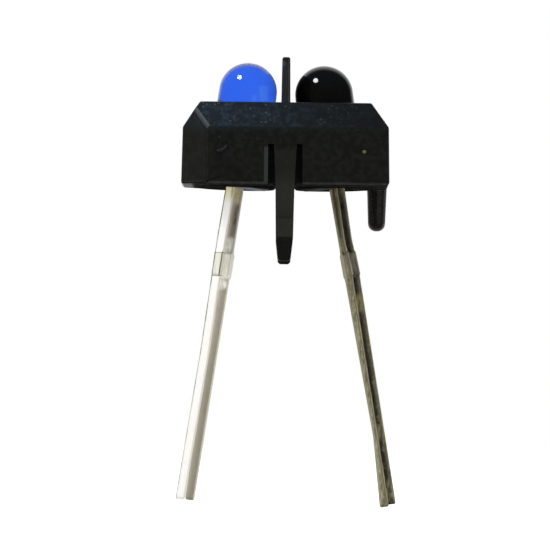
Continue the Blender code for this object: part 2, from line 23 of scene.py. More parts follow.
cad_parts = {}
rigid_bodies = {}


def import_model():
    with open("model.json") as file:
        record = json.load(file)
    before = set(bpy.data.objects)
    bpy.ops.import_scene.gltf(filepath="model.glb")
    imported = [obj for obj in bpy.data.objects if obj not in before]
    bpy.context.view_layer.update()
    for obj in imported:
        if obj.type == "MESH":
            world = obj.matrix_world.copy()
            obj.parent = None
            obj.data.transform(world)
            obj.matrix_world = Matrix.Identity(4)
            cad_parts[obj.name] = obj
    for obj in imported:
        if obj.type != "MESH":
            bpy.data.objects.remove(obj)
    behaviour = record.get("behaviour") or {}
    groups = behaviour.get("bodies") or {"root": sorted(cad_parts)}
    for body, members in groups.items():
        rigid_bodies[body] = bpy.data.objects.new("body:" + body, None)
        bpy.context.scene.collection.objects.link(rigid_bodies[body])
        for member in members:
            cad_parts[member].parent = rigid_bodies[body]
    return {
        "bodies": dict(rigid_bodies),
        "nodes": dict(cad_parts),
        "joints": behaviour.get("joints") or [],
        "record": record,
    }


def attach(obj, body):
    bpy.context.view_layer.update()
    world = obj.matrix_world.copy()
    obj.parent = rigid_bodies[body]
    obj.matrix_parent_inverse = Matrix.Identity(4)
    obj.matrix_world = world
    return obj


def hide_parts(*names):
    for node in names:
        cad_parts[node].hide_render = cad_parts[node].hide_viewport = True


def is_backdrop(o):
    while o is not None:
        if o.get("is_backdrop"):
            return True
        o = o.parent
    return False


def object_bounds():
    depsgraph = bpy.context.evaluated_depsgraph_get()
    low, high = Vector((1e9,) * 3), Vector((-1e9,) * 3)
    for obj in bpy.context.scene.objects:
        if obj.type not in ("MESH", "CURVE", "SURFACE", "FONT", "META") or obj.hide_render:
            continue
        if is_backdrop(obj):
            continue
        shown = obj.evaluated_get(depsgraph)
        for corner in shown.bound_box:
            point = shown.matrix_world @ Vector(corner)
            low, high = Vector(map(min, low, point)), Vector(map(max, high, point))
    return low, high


MM = 0.001
BODY = "root"

Colour = tuple[float, float, float]
Point = tuple[float, float, float]
Range = tuple[float, float]
Node = bpy.types.Node
Socket = bpy.types.NodeSocket
Tree = bpy.types.NodeTree
Material = bpy.types.Material
Piece = bpy.types.Object

WHITE: Colour = (1.0, 1.0, 1.0)
DOWN: Point = (0.0, 0.0, -1.0)
OUTWARDS: Point = (0.0, 1.0, 0.0)
LENGTHWAYS: Point = (0.0, 0.0, 1.0)

log = logging.getLogger("sensor")


class Slot(Enum):
    """Material slots of the record, which the pieces are logged under."""

    HOUSING = "housing"
    EMITTER_LENS = "emitter_lens"
    DETECTOR_LENS = "detector_lens"
    CHIPS = "chips"
    BOND_WIRES = "bond_wires"


class End(Enum):
    """The two ends of the housing, as the sign of their X."""

    EMITTER = -1
    DETECTOR = 1


class Outline(Enum):
    """Which long edges of a lead get a painted edge tone, dark shade on some leads and a pale highlight on
    others, as the sign of their own X.
    """

    LEFT = -1
    BOTH = 0
    RIGHT = 1


def mm(*sizes: float) -> tuple[float, ...]:
    """Sizes in millimetres, as metres."""
    return tuple(size * MM for size in sizes)


# Node trees


class NodeBench:
    """Adds nodes to one tree and joins them."""

    def __init__(self, tree: Tree) -> None:
        """Takes the tree of a material, a world or a group."""
        self.tree = tree

    def add(self, kind: str, inputs: dict[Any, Any] | None = None, **settings: Any) -> Node:
        """Adds a node.

        Args:
            kind: The node's type name.
            inputs: Values or output sockets for its inputs, by name or number.
            **settings: Attributes of the node.

        Returns:
            The new node.
        """
        node = self.tree.nodes.new(kind)
        for name, value in settings.items():
            setattr(node, name, value)
        self.feed(node, inputs or {})
        return node

    def feed(self, node: Node, inputs: dict[Any, Any]) -> None:
        """Joins output sockets to a node's inputs, or sets the inputs' own values.

        Args:
            node: The node.
            inputs: A value or an output socket for each input, by name or number.
        """
        for name, value in inputs.items():
            socket = node.inputs[name]
            if isinstance(value, Socket):
                self.tree.links.new(value, socket)
            else:
                socket.default_value = (*value, 1.0) if socket.type == "RGBA" else value

    def fold(self, operation: str, *values: Any, clamp: bool = False) -> Socket:
        """Takes values two by two through Math nodes.

        Args:
            operation: The nodes' operation.
            *values: Two values or more.
            clamp: Holds each result between 0 and 1.

        Returns:
            The last result.
        """
        result = values[0]
        for value in values[1:]:
            node = self.add("ShaderNodeMath", {0: result, 1: value}, operation=operation, use_clamp=clamp)
            result = node.outputs[0]
        return result

    def times(self, *values: Any) -> Socket:
        """The product of the values."""
        return self.fold("MULTIPLY", *values)

    def plus(self, *values: Any, clamp: bool = False) -> Socket:
        """The sum of the values."""
        return self.fold("ADD", *values, clamp=clamp)

    def less(self, value: Any, taken: Any, clamp: bool = False) -> Socket:
        """A value with another one taken from it."""
        return self.fold("SUBTRACT", value, taken, clamp=clamp)

    def most(self, *values: Any) -> Socket:
        """The greatest of the values."""
        return self.fold("MAXIMUM", *values)

    def unsigned(self, value: Any) -> Socket:
        """A value without its sign."""
        return self.add("ShaderNodeMath", {0: value}, operation="ABSOLUTE").outputs[0]

    def vector(self, operation: str, *values: Any) -> Socket:
        """A Vector Math node's result, which is a number for a dot product."""
        node = self.add("ShaderNodeVectorMath", dict(enumerate(values)), operation=operation)
        return node.outputs["Value" if operation == "DOT_PRODUCT" else "Vector"]

    def split(self, vector: Any) -> Any:
        """The three values of a vector, by axis."""
        return self.add("ShaderNodeSeparateXYZ", {0: vector}).outputs

    def join(self, x: Any, y: Any, z: Any) -> Socket:
        """The vector of three values."""
        return self.add("ShaderNodeCombineXYZ", {0: x, 1: y, 2: z}).outputs[0]

    def place(self) -> Socket:
        """Object coordinates of the shaded point."""
        return self.add("ShaderNodeTexCoord").outputs["Object"]

    def normal(self, kind: str = "True Normal") -> Socket:
        """The surface's own normal, flat over each face unless another kind is named."""
        return self.add("ShaderNodeNewGeometry").outputs[kind]

    def ramp(self, value: Any, low: Any, high: Any, to_low: Any = 0.0, to_high: Any = 1.0) -> Any:
        """Maps a value smoothly from one range to another, and holds it there.

        Args:
            value: What is mapped.
            low: Value that gives to_low.
            high: Value that gives to_high.
            to_low: Result at low.
            to_high: Result at high.

        Returns:
            The result's socket, or the plain result where it is the same all over.
        """
        if to_low == to_high:
            return to_low
        ends = {"Value": value, "From Min": low, "From Max": high, "To Min": to_low, "To Max": to_high}
        return self.add("ShaderNodeMapRange", ends, interpolation_type="SMOOTHSTEP").outputs["Result"]

    def between(self, mask: Any, bare: Any, full: Any) -> Any:
        """A value that goes smoothly from one to another with a mask."""
        return self.ramp(mask, 0.0, 1.0, bare, full)

    def noise(self, vector: Any, scale: Any, detail: float = 3.0, roughness: float = 0.5) -> Socket:
        """A noise texture's value."""
        inputs = {"Vector": vector, "Scale": scale, "Detail": detail, "Roughness": roughness}
        return self.add("ShaderNodeTexNoise", inputs).outputs["Fac"]

    def blend(self, share: Any, first: Any, second: Any) -> Socket:
        """Mixes two colours by the share of the second."""
        return self.add("ShaderNodeMix", {0: share, 6: first, 7: second}, data_type="RGBA").outputs[2]

    def blend_vectors(self, share: Any, first: Any, second: Any) -> Socket:
        """Mixes two vectors by the share of the second."""
        return self.add("ShaderNodeMix", {0: share, 4: first, 5: second}, data_type="VECTOR").outputs[1]

    def lay(self, base: Any, *layers: tuple[Any, Any]) -> Socket:
        """Lays colours over a base, one after another.

        Args:
            base: The lowest colour.
            *layers: Share and colour of each layer.

        Returns:
            The colour that is seen.
        """
        for share, colour in layers:
            base = self.blend(share, base, colour)
        return base

    def bump(self, strength: Any, distance: float, height: Any, **normal: Socket) -> Socket:
        """A normal with a bump, on the surface's own normal unless Normal is given."""
        inputs = {"Strength": strength, "Distance": distance, "Height": height, **normal}
        return self.add("ShaderNodeBump", inputs).outputs[0]

    def group(self, tree: Tree, inputs: dict[str, Any]) -> Any:
        """Places a group with its own values, and hands over its outputs."""
        return self.add("ShaderNodeGroup", inputs, node_tree=tree).outputs


class SocketKind(Enum):
    """Kinds of group sockets that the trees use."""

    NUMBER = "NodeSocketFloat"
    VECTOR = "NodeSocketVector"
    COUNT = "NodeSocketInt"
    MATERIAL = "NodeSocketMaterial"
    MESH = "NodeSocketGeometry"

    @classmethod
    def of(cls, value: Any) -> SocketKind:
        """The kind that holds a value, or the value itself where it is a kind."""
        kinds = {float: cls.NUMBER, int: cls.COUNT, tuple: cls.VECTOR}
        return value if isinstance(value, cls) else kinds[type(value)]


class TreeKind(Enum):
    """Kinds of node groups."""

    SHADER = "ShaderNodeTree"
    GEOMETRY = "GeometryNodeTree"


def open_group(
    name: str, kind: TreeKind, inputs: dict[str, Any], outputs: dict[str, SocketKind]
) -> tuple[NodeBench, Any, Node]:
    """Starts a node group with named sockets.

    Args:
        name: The group's name.
        kind: Kind of the tree.
        inputs: First value of each input, or its kind where it starts with none.
        outputs: Kind of each output.

    Returns:
        The bench for its tree, the sockets of its inputs, and its output node.
    """
    tree = bpy.data.node_groups.new(name, kind.value)
    for label, value in inputs.items():
        socket = tree.interface.new_socket(label, in_out="INPUT", socket_type=SocketKind.of(value).value)
        if not isinstance(value, SocketKind):
            socket.default_value = value
    for label, socket_kind in outputs.items():
        tree.interface.new_socket(label, in_out="OUTPUT", socket_type=socket_kind.value)
    bench = NodeBench(tree)
    return bench, bench.add("NodeGroupInput").outputs, bench.add("NodeGroupOutput")


@dataclass
class Effects:
    """Shader groups that several finishes share, each built once."""

    bevel_samples: int = 6
    rub_turn: Range = (0.02, 0.22)
    rub_noise: Range = (0.35, 0.65)
    dust_facing: Range = (0.1, 0.55)
    film_noise: Range = (0.84, 1.2)
    film_peak: float = 1.35
    speck_reach: Range = (0.08, 0.42)
    speck_choice: Range = (0.72, 0.95)
    specks_on_walls: float = 0.15
    streak_noise: Range = (0.38, 0.62)
    brown_start: float = 0.78
    brown_gain: float = 0.4
    brown_edge: float = 0.12
    short_marks: Point = (11000.0, 11000.0, 3200.0)
    short_noise: Range = (0.4, 0.62)

    def __post_init__(self) -> None:
        """Builds each group."""
        self.mottle = self.build_mottle()
        self.edges = self.build_edges()
        self.dust = self.build_dust()
        self.patch = self.build_patch()
        self.streaks = self.build_streaks()

    def open(self, name: str, inputs: dict[str, Any], *outputs: str) -> tuple[NodeBench, Any, Node]:
        """Starts a shader group whose outputs are numbers, apart from one that is called Normal."""
        kinds = {label: SocketKind.VECTOR if label == "Normal" else SocketKind.NUMBER for label in outputs}
        return open_group(name, TreeKind.SHADER, inputs, kinds)

    def build_mottle(self) -> Tree:
        """Soft uneven patches, as in a moulded or tarnished surface.

        Returns:
            The group's tree.
        """
        bench, given, result = self.open("mottle", {"Scale": 1000.0, "Low": 0.4, "High": 0.6}, "Mask")
        value = bench.noise(bench.place(), given["Scale"], detail=5.0, roughness=0.6)
        bench.feed(result, {"Mask": bench.ramp(value, given["Low"], given["High"])})
        return bench.tree

    def build_edges(self) -> Tree:
        """Rounded shading of sharp edges, and a mask of edge wear, also used for painted edge highlights.

        Returns:
            The group's tree.
        """
        inputs = {"Radius": 0.05 * MM, "Rub Scale": 2500.0}
        bench, given, result = self.open("edges", inputs, "Mask", "Normal")
        bevel = bench.add("ShaderNodeBevel", {"Radius": given["Radius"]}, samples=self.bevel_samples)
        rounded = bevel.outputs[0]
        turn = bench.less(1.0, bench.vector("DOT_PRODUCT", rounded, bench.normal()))
        rub = bench.ramp(bench.noise(bench.place(), given["Rub Scale"]), *self.rub_noise)
        bench.feed(result, {"Mask": bench.times(bench.ramp(turn, *self.rub_turn), rub), "Normal": rounded})
        return bench.tree

    def build_dust(self) -> Tree:
        """A film that settles on what faces up, with specks in it.

        Returns:
            The group's tree.
        """
        inputs = {"Film": 0.5, "Specks": 0.5, "Film Scale": 900.0, "Speck Scale": 5000.0}
        bench, given, result = self.open("dust", inputs, "Mask", "Specks", "Settled")
        settled = bench.ramp(bench.split(bench.normal())["Z"], *self.dust_facing)
        place = bench.place()
        fine = bench.noise(place, given["Film Scale"], detail=2.0)
        wide = bench.noise(place, bench.times(given["Film Scale"], 0.3), roughness=0.6)
        film = bench.times(settled, bench.ramp(bench.plus(fine, wide), *self.film_noise, 0.0, self.film_peak))
        cells = bench.add("ShaderNodeTexVoronoi", {"Vector": place, "Scale": given["Speck Scale"]}).outputs
        spot = bench.ramp(cells["Distance"], *self.speck_reach, 1.0, 0.0)
        chance = bench.add("ShaderNodeSeparateColor", {0: cells["Color"]}).outputs[0]
        share = bench.plus(bench.times(settled, 1.0 - self.specks_on_walls), self.specks_on_walls)
        specks = bench.times(spot, bench.ramp(chance, *self.speck_choice), share, given["Specks"])
        mask = bench.plus(bench.times(film, given["Film"]), specks, clamp=True)
        bench.feed(result, {"Mask": mask, "Specks": specks, "Settled": settled})
        return bench.tree

    def build_patch(self) -> Tree:
        """A soft-edged box round a centre, for marks that lie at one place.

        Returns:
            The group's tree.
        """
        inputs = {"Centre": mm(0.0, 0.0, 0.0), "Half Size": mm(1.0, 1.0, 1.0), "Softness": 0.1 * MM}
        bench, given, result = self.open("patch", inputs, "Mask")
        away = bench.vector("ABSOLUTE", bench.vector("SUBTRACT", bench.place(), given["Centre"]))
        over = bench.split(bench.vector("SUBTRACT", away, given["Half Size"]))
        masks = [bench.ramp(over[axis], 0.0, given["Softness"], 1.0, 0.0) for axis in "XYZ"]
        bench.feed(result, {"Mask": bench.times(*masks)})
        return bench.tree

    def build_streaks(self) -> Tree:
        """Long streaks down a lead, short marks, and spots where the plating has gone brown.

        Returns:
            The group's tree.
        """
        inputs = {"Across": 9000.0, "Along": 500.0, "Spots": 0.5}
        bench, given, result = self.open("streaks", inputs, "Streaks", "Brown", "Mottle")
        place = bench.place()
        long_marks = bench.join(given["Across"], given["Across"], given["Along"])
        drawn = bench.noise(bench.vector("MULTIPLY", place, long_marks), 1.0, 4.0, 0.6)
        short = bench.noise(bench.vector("MULTIPLY", place, self.short_marks), 1.0, 4.0, 0.65)
        start = bench.less(self.brown_start, bench.times(given["Spots"], self.brown_gain))
        brown = bench.ramp(bench.noise(place, 1500.0, 6.0, 0.7), start, bench.plus(start, self.brown_edge))
        streaks, mottle = bench.ramp(drawn, *self.streak_noise), bench.ramp(short, *self.short_noise)
        bench.feed(result, {"Streaks": streaks, "Brown": brown, "Mottle": mottle})
        return bench.tree


# Finishes


def new_material(name: str) -> tuple[Material, NodeBench, Node]:
    """Starts a material.

    Args:
        name: The material's name.

    Returns:
        The material, the bench for its tree and its Principled shader.
    """
    material = bpy.data.materials.new(name)
    material.use_nodes = True
    return material, NodeBench(material.node_tree), material.node_tree.nodes["Principled BSDF"]


@dataclass(frozen=True)
class Patch:
    """A soft-edged box, for a mark that lies at one place."""

    centre: Point
    half: Point
    soft: float = 0.1 * MM

    def mask(self, bench: NodeBench, effects: Effects) -> Socket:
        """A mask that is 1 in the box."""
        inputs = {"Centre": self.centre, "Half Size": self.half, "Softness": self.soft}
        return bench.group(effects.patch, inputs)["Mask"]


@dataclass(frozen=True)
class MouldedPlastic:
    """Black moulded plastic with a dust film and a painted bluish sheen on its slopes and a painted highlight
    along its hips.
    """

    name: str = "black_moulded_plastic"
    colour: Colour = (0.0039, 0.0049, 0.0036)
    mottled: Colour = (0.0073, 0.0081, 0.006)
    # Faces that face up are painted darker, under the dust film.
    darker_facing_up: Colour = (0.0012, 0.002, 0.0015)
    # Dust, and also a painted bluish reflection of light on the slopes.
    dust_and_sheen_colour: Colour = (0.0105, 0.0235, 0.039)
    speck_colour: Colour = (0.05, 0.085, 0.105)
    # Edge wear, and also painted highlights on edges and on the strip beside the left clip window.
    rubbed_and_highlight: Colour = (0.024, 0.027, 0.027)
    # Painted highlight along the hip facets.
    hip_highlight_colour: Colour = (0.017, 0.023, 0.032)
    clip_colour: Colour = (0.0098, 0.0105, 0.0066)
    clip_lower: Colour = (0.0175, 0.0188, 0.013)
    # Painted shade on the barb's taper, which faces down.
    barb_shade_colour: Colour = (0.0058, 0.0056, 0.0042)
    # Painted highlight along the lower edge of the front and back walls.
    lip_highlight_colour: Colour = (0.034, 0.037, 0.031)
    # Painted sheen: the peg is made lighter in place of its highlights.
    peg_sheen_colour: Colour = (0.0095, 0.0077, 0.005)
    # Painted light on the barrier fin: a bluish reflection of the blue lens on its left, lighter towards its
    # right, and a painted highlight on its top.
    fin_blue_reflection: Colour = (0.007, 0.0085, 0.022)
    fin_right: Colour = (0.019, 0.021, 0.024)
    fin_tip_highlight: Colour = (0.045, 0.05, 0.055)
    specular: float = 0.5
    matt_specular: float = 0.05
    roughness: float = 0.3
    matt_gain: float = 0.6
    below_gain: float = 0.22
    hip_gain: float = 0.25
    peg_gloss: float = 0.08
    wear: float = 0.14
    edge_radius: float = 0.06 * MM
    grain_scale: float = 14000.0
    grain_depth: float = 0.01 * MM
    grain: float = 0.12
    peg_grain: float = 0.02
    hip_normal: Point = (-0.3985, 0.8559, 0.3293)
    hip_turn: Range = (0.955, 0.985)
    hip_least: float = 0.75
    matt_turn: Range = (0.4, 0.7)
    below_turn: Range = (0.85, 0.97)
    outer_turn: Range = (0.3, 0.55)
    upright_lean: Range = (0.04, 0.07)
    uneven_scale: float = 3200.0
    uneven_noise: Range = (0.38, 0.66)
    uneven_gain: float = 0.05
    dust_film: float = 0.75
    dust_specks: float = 0.9
    dust_scale: float = 5200.0
    film_right: float = 0.12
    film_left: float = 0.35
    brim_share: float = 0.4
    lip_least: float = 0.6
    clip_share: float = 0.9
    fin_share: float = 0.8
    peg_sheen_share: float = 0.8
    darker_facing_up_share: float = 0.9
    # Painted highlight: a lighter strip beside the left clip window.
    slot_highlight: Patch = Patch(mm(-0.93, -2.86, 0.95), mm(0.07, 0.08, 0.85), 0.06 * MM)
    clips: Patch = Patch(mm(0.0, 0.0, -1.2), mm(0.5, 4.0, 2.85))
    underside: Patch = Patch(mm(0.45, 0.0, 0.0), mm(4.8, 4.0, 0.1), 0.3 * MM)
    peg: Patch = Patch(mm(4.58, 1.96, -1.1), mm(0.6, 0.6, 1.0))
    fin: Patch = Patch(mm(-0.13, 0.0, 5.1), mm(0.12, 2.2, 0.9), 0.2 * MM)
    tip: Patch = Patch(mm(-0.15, 0.0, 6.05), mm(0.05, 2.2, 0.12), 0.12 * MM)
    film_fade: Range = mm(-5.0, 5.0)
    film_start: Range = mm(-5.1, -3.9)
    brim_rise: Range = mm(2.45, 2.95)
    brim_end: Range = mm(4.2, 4.4)
    clip_fade: Range = mm(-0.4, 0.8)
    barb_edge: Range = mm(-2.6, -2.54)
    fin_fade: Range = mm(-0.3, 0.1)
    lip_edge: Range = mm(0.05, 0.17)
    lip_foot: Range = mm(-0.05, 0.0)

    def facing(self, bench: NodeBench, direction: Point, low: float, high: float) -> Socket:
        """Picks the faces whose normal, with Y taken without its sign, is near a direction.

        Args:
            bench: The bench of the material.
            direction: The direction.
            low: Cosine at which the mask starts.
            high: Cosine at which it is full.

        Returns:
            The mask.
        """
        parts = bench.split(bench.normal())
        mirrored = bench.join(parts["X"], bench.unsigned(parts["Y"]), parts["Z"])
        return bench.ramp(bench.vector("DOT_PRODUCT", mirrored, direction), low, high)

    def find_marks(self, bench: NodeBench, effects: Effects) -> dict[str, Socket]:
        """Masks of the moulding's parts, of its dust and of its edges.

        Args:
            bench: The bench of the material.
            effects: The shared shader groups.

        Returns:
            The masks and the rounded normal, by name.
        """
        names = ("slot_highlight", "clips", "underside", "peg", "fin", "tip")
        marks = {name: getattr(self, name).mask(bench, effects) for name in names}
        marks["matt"] = bench.times(marks["underside"], self.facing(bench, DOWN, *self.matt_turn))
        marks["hip"] = self.facing(bench, self.hip_normal, *self.hip_turn)
        spread = {"Scale": self.uneven_scale, "Low": self.uneven_noise[0], "High": self.uneven_noise[1]}
        marks["uneven"] = bench.group(effects.mottle, spread)["Mask"]
        amounts = {"Film": self.dust_film, "Specks": self.dust_specks}
        scales = {"Film Scale": self.dust_scale, "Speck Scale": self.dust_scale}
        dust = bench.group(effects.dust, {**amounts, **scales})
        edges = bench.group(effects.edges, {"Radius": self.edge_radius})
        marks |= {"dust": dust["Mask"], "specks": dust["Specks"], "settled": dust["Settled"]}
        return {**marks, "edges": edges["Mask"], "rounded": edges["Normal"]}

    def tinted(self, bench: NodeBench, marks: dict[str, Socket]) -> Socket:
        """Lays the tones of the parts, the dust with its painted sheen, and the painted highlights and shade
        over one another.

        Args:
            bench: The bench of the material.
            marks: What find_marks returned.

        Returns:
            The colour.
        """
        spot = bench.split(bench.place())
        x, z, uneven, clips = spot["X"], spot["Z"], marks["uneven"], marks["clips"]
        # The dust film is fuller on the left and fades to the right, and it is also laid over the whole
        # slope: besides dust it paints the bluish reflection of light there.
        faded = bench.ramp(x, *self.film_fade, 1.0, self.film_right)
        dust_and_sheen_fade = bench.times(faded, bench.ramp(x, *self.film_start, self.film_left, 1.0))
        risen = bench.ramp(z, *self.brim_rise, 0.0, self.brim_share)
        slope_dust_and_sheen = bench.times(risen, bench.ramp(z, *self.brim_end, 1.0, 0.0))
        clip = bench.blend(bench.ramp(z, *self.clip_fade), self.clip_lower, self.clip_colour)
        # Painted shade on the barb's taper, which faces down.
        clip = bench.blend(bench.ramp(z, *self.barb_edge), self.barb_shade_colour, clip)
        # Painted light on the barrier fin: bluish reflection of the blue lens, lighter right side, painted
        # highlight on top.
        fin_painted_light = bench.blend(bench.ramp(x, *self.fin_fade), self.fin_blue_reflection, self.fin_right)
        # Painted highlight along the lower edge of the front and back walls.
        outer = self.facing(bench, OUTWARDS, *self.outer_turn)
        broken = bench.between(uneven, self.lip_least, 1.0)
        lip_highlight = bench.times(bench.ramp(z, *self.lip_edge, 1.0, 0.0), broken, outer)
        lip_highlight = bench.times(bench.less(lip_highlight, clips, clamp=True), bench.ramp(z, *self.lip_foot))
        # Edge wear, which also paints highlights along the edges.
        edge_wear_and_highlight = bench.times(marks["edges"], bench.less(self.wear, bench.times(clips, self.wear)))
        return bench.lay(
            bench.blend(uneven, self.colour, self.mottled),
            (bench.times(clips, self.clip_share), clip),
            (bench.times(marks["fin"], self.fin_share), bench.blend(marks["tip"], fin_painted_light, self.fin_tip_highlight)),
            # Painted sheen: the peg is made lighter in place of its highlights.
            (bench.times(marks["peg"], self.peg_sheen_share), self.peg_sheen_colour),
            # Faces that face up are painted darker, under the dust film.
            (bench.times(marks["settled"], self.darker_facing_up_share), self.darker_facing_up),
            (bench.times(bench.most(marks["dust"], slope_dust_and_sheen), dust_and_sheen_fade), self.dust_and_sheen_colour),
            (bench.times(marks["specks"], dust_and_sheen_fade), self.speck_colour),
            (lip_highlight, self.lip_highlight_colour),
            (bench.most(edge_wear_and_highlight, marks["slot_highlight"]), self.rubbed_and_highlight),
            # Painted highlight along the hip facets.
            (bench.times(marks["hip"], bench.between(uneven, self.hip_least, 1.0)), self.hip_highlight_colour),
        )

    def bumped(self, bench: NodeBench, marks: dict[str, Socket]) -> Socket:
        """Rounds the edges and adds the grain. Upright walls and the clips are shaded flat, the peg smooth.

        Args:
            bench: The bench of the material.
            marks: What find_marks returned.

        Returns:
            The normal.
        """
        peg, flat = marks["peg"], bench.normal()
        soft = bench.blend_vectors(peg, marks["rounded"], bench.normal("Normal"))
        lean = bench.unsigned(bench.split(flat)["Z"])
        upright = bench.less(bench.ramp(lean, *self.upright_lean, 1.0, 0.0), peg, clamp=True)
        normal = bench.blend_vectors(bench.most(marks["clips"], upright), soft, flat)
        height = bench.plus(bench.noise(bench.place(), self.grain_scale, detail=2.0), marks["specks"])
        strength = bench.between(peg, self.grain, self.peg_grain)
        return bench.bump(strength, self.grain_depth, height, Normal=normal)

    def material(self, effects: Effects) -> Material:
        """Builds the material.

        Args:
            effects: The shared shader groups.

        Returns:
            The finished material.
        """
        material, bench, shader = new_material(self.name)
        marks = self.find_marks(bench, effects)
        rough = bench.plus(
            bench.between(marks["uneven"], self.roughness, self.roughness + self.uneven_gain),
            bench.times(self.facing(bench, DOWN, *self.below_turn), self.below_gain),
            bench.times(marks["matt"], self.matt_gain),
            bench.times(marks["hip"], self.hip_gain),
        )
        looks = {
            "Base Color": self.tinted(bench, marks),
            "Specular IOR Level": bench.between(marks["matt"], self.specular, self.matt_specular),
            "Roughness": bench.less(rough, bench.times(marks["peg"], self.peg_gloss), clamp=True),
            "Normal": self.bumped(bench, marks),
        }
        bench.feed(shader, looks)
        return material


@dataclass(frozen=True)
class CastEpoxy:
    """Dyed epoxy, cast in a polished mould."""

    name: str
    colour: Colour
    deeper: Colour
    shaded: Colour
    transmission: float = 0.0
    shaded_to: float = 1.0 * MM
    clear_from: float = 3.9 * MM
    roughness: float = 0.045
    smeared: float = 0.04
    buried: float = 0.9
    refraction: float = 1.54
    # Painted light in the dome: a brighter band where light gathers on its far side, and a thin painted
    # streak of reflection.
    gathered_light: Colour = (0.12, 0.3, 1.0)
    gathered_light_share: float = 0.7
    gathered_light_patches: tuple[Patch, ...] = ()
    haze: float = 0.0
    haze_spread: float = 0.35
    haze_tint: Colour = (0.75, 0.72, 0.95)
    ripple: float = 0.01
    ripple_depth: float = 0.01 * MM
    ripple_scale: float = 900.0

    def material(self, effects: Effects) -> Material:
        """Builds the material.

        Args:
            effects: The shared shader groups.

        Returns:
            The finished material.
        """
        material, bench, shader = new_material(self.name)
        cloudy = bench.group(effects.mottle, {"Scale": 450.0, "Low": 0.35, "High": 0.65})["Mask"]
        smear = bench.group(effects.mottle, {"Scale": 1600.0, "Low": 0.45, "High": 0.8})["Mask"]
        # Painted light patches: a brighter band and a thin streak of reflection.
        shares = [bench.times(patch.mask(bench, effects), self.gathered_light_share) for patch in self.gathered_light_patches]
        gathered_light_patches = [(share, self.gathered_light) for share in shares]
        base = bench.lay(bench.blend(cloudy, self.colour, self.deeper), *gathered_light_patches)
        height = bench.split(bench.place())["Z"]
        hidden = bench.ramp(height, self.shaded_to, self.clear_from, self.buried, 0.0)
        smeared = bench.between(smear, self.roughness, self.roughness + self.smeared)
        rippled = bench.noise(bench.place(), self.ripple_scale, detail=1.0)
        looks = {
            "Base Color": bench.blend(bench.ramp(height, self.shaded_to, self.clear_from), self.shaded, base),
            "Transmission Weight": self.transmission,
            "IOR": self.refraction,
            "Sheen Weight": self.haze,
            "Sheen Roughness": self.haze_spread,
            "Sheen Tint": self.haze_tint,
            "Roughness": bench.plus(smeared, hidden),
            "Normal": bench.bump(self.ripple, self.ripple_depth, rippled),
        }
        bench.feed(shader, looks)
        return material


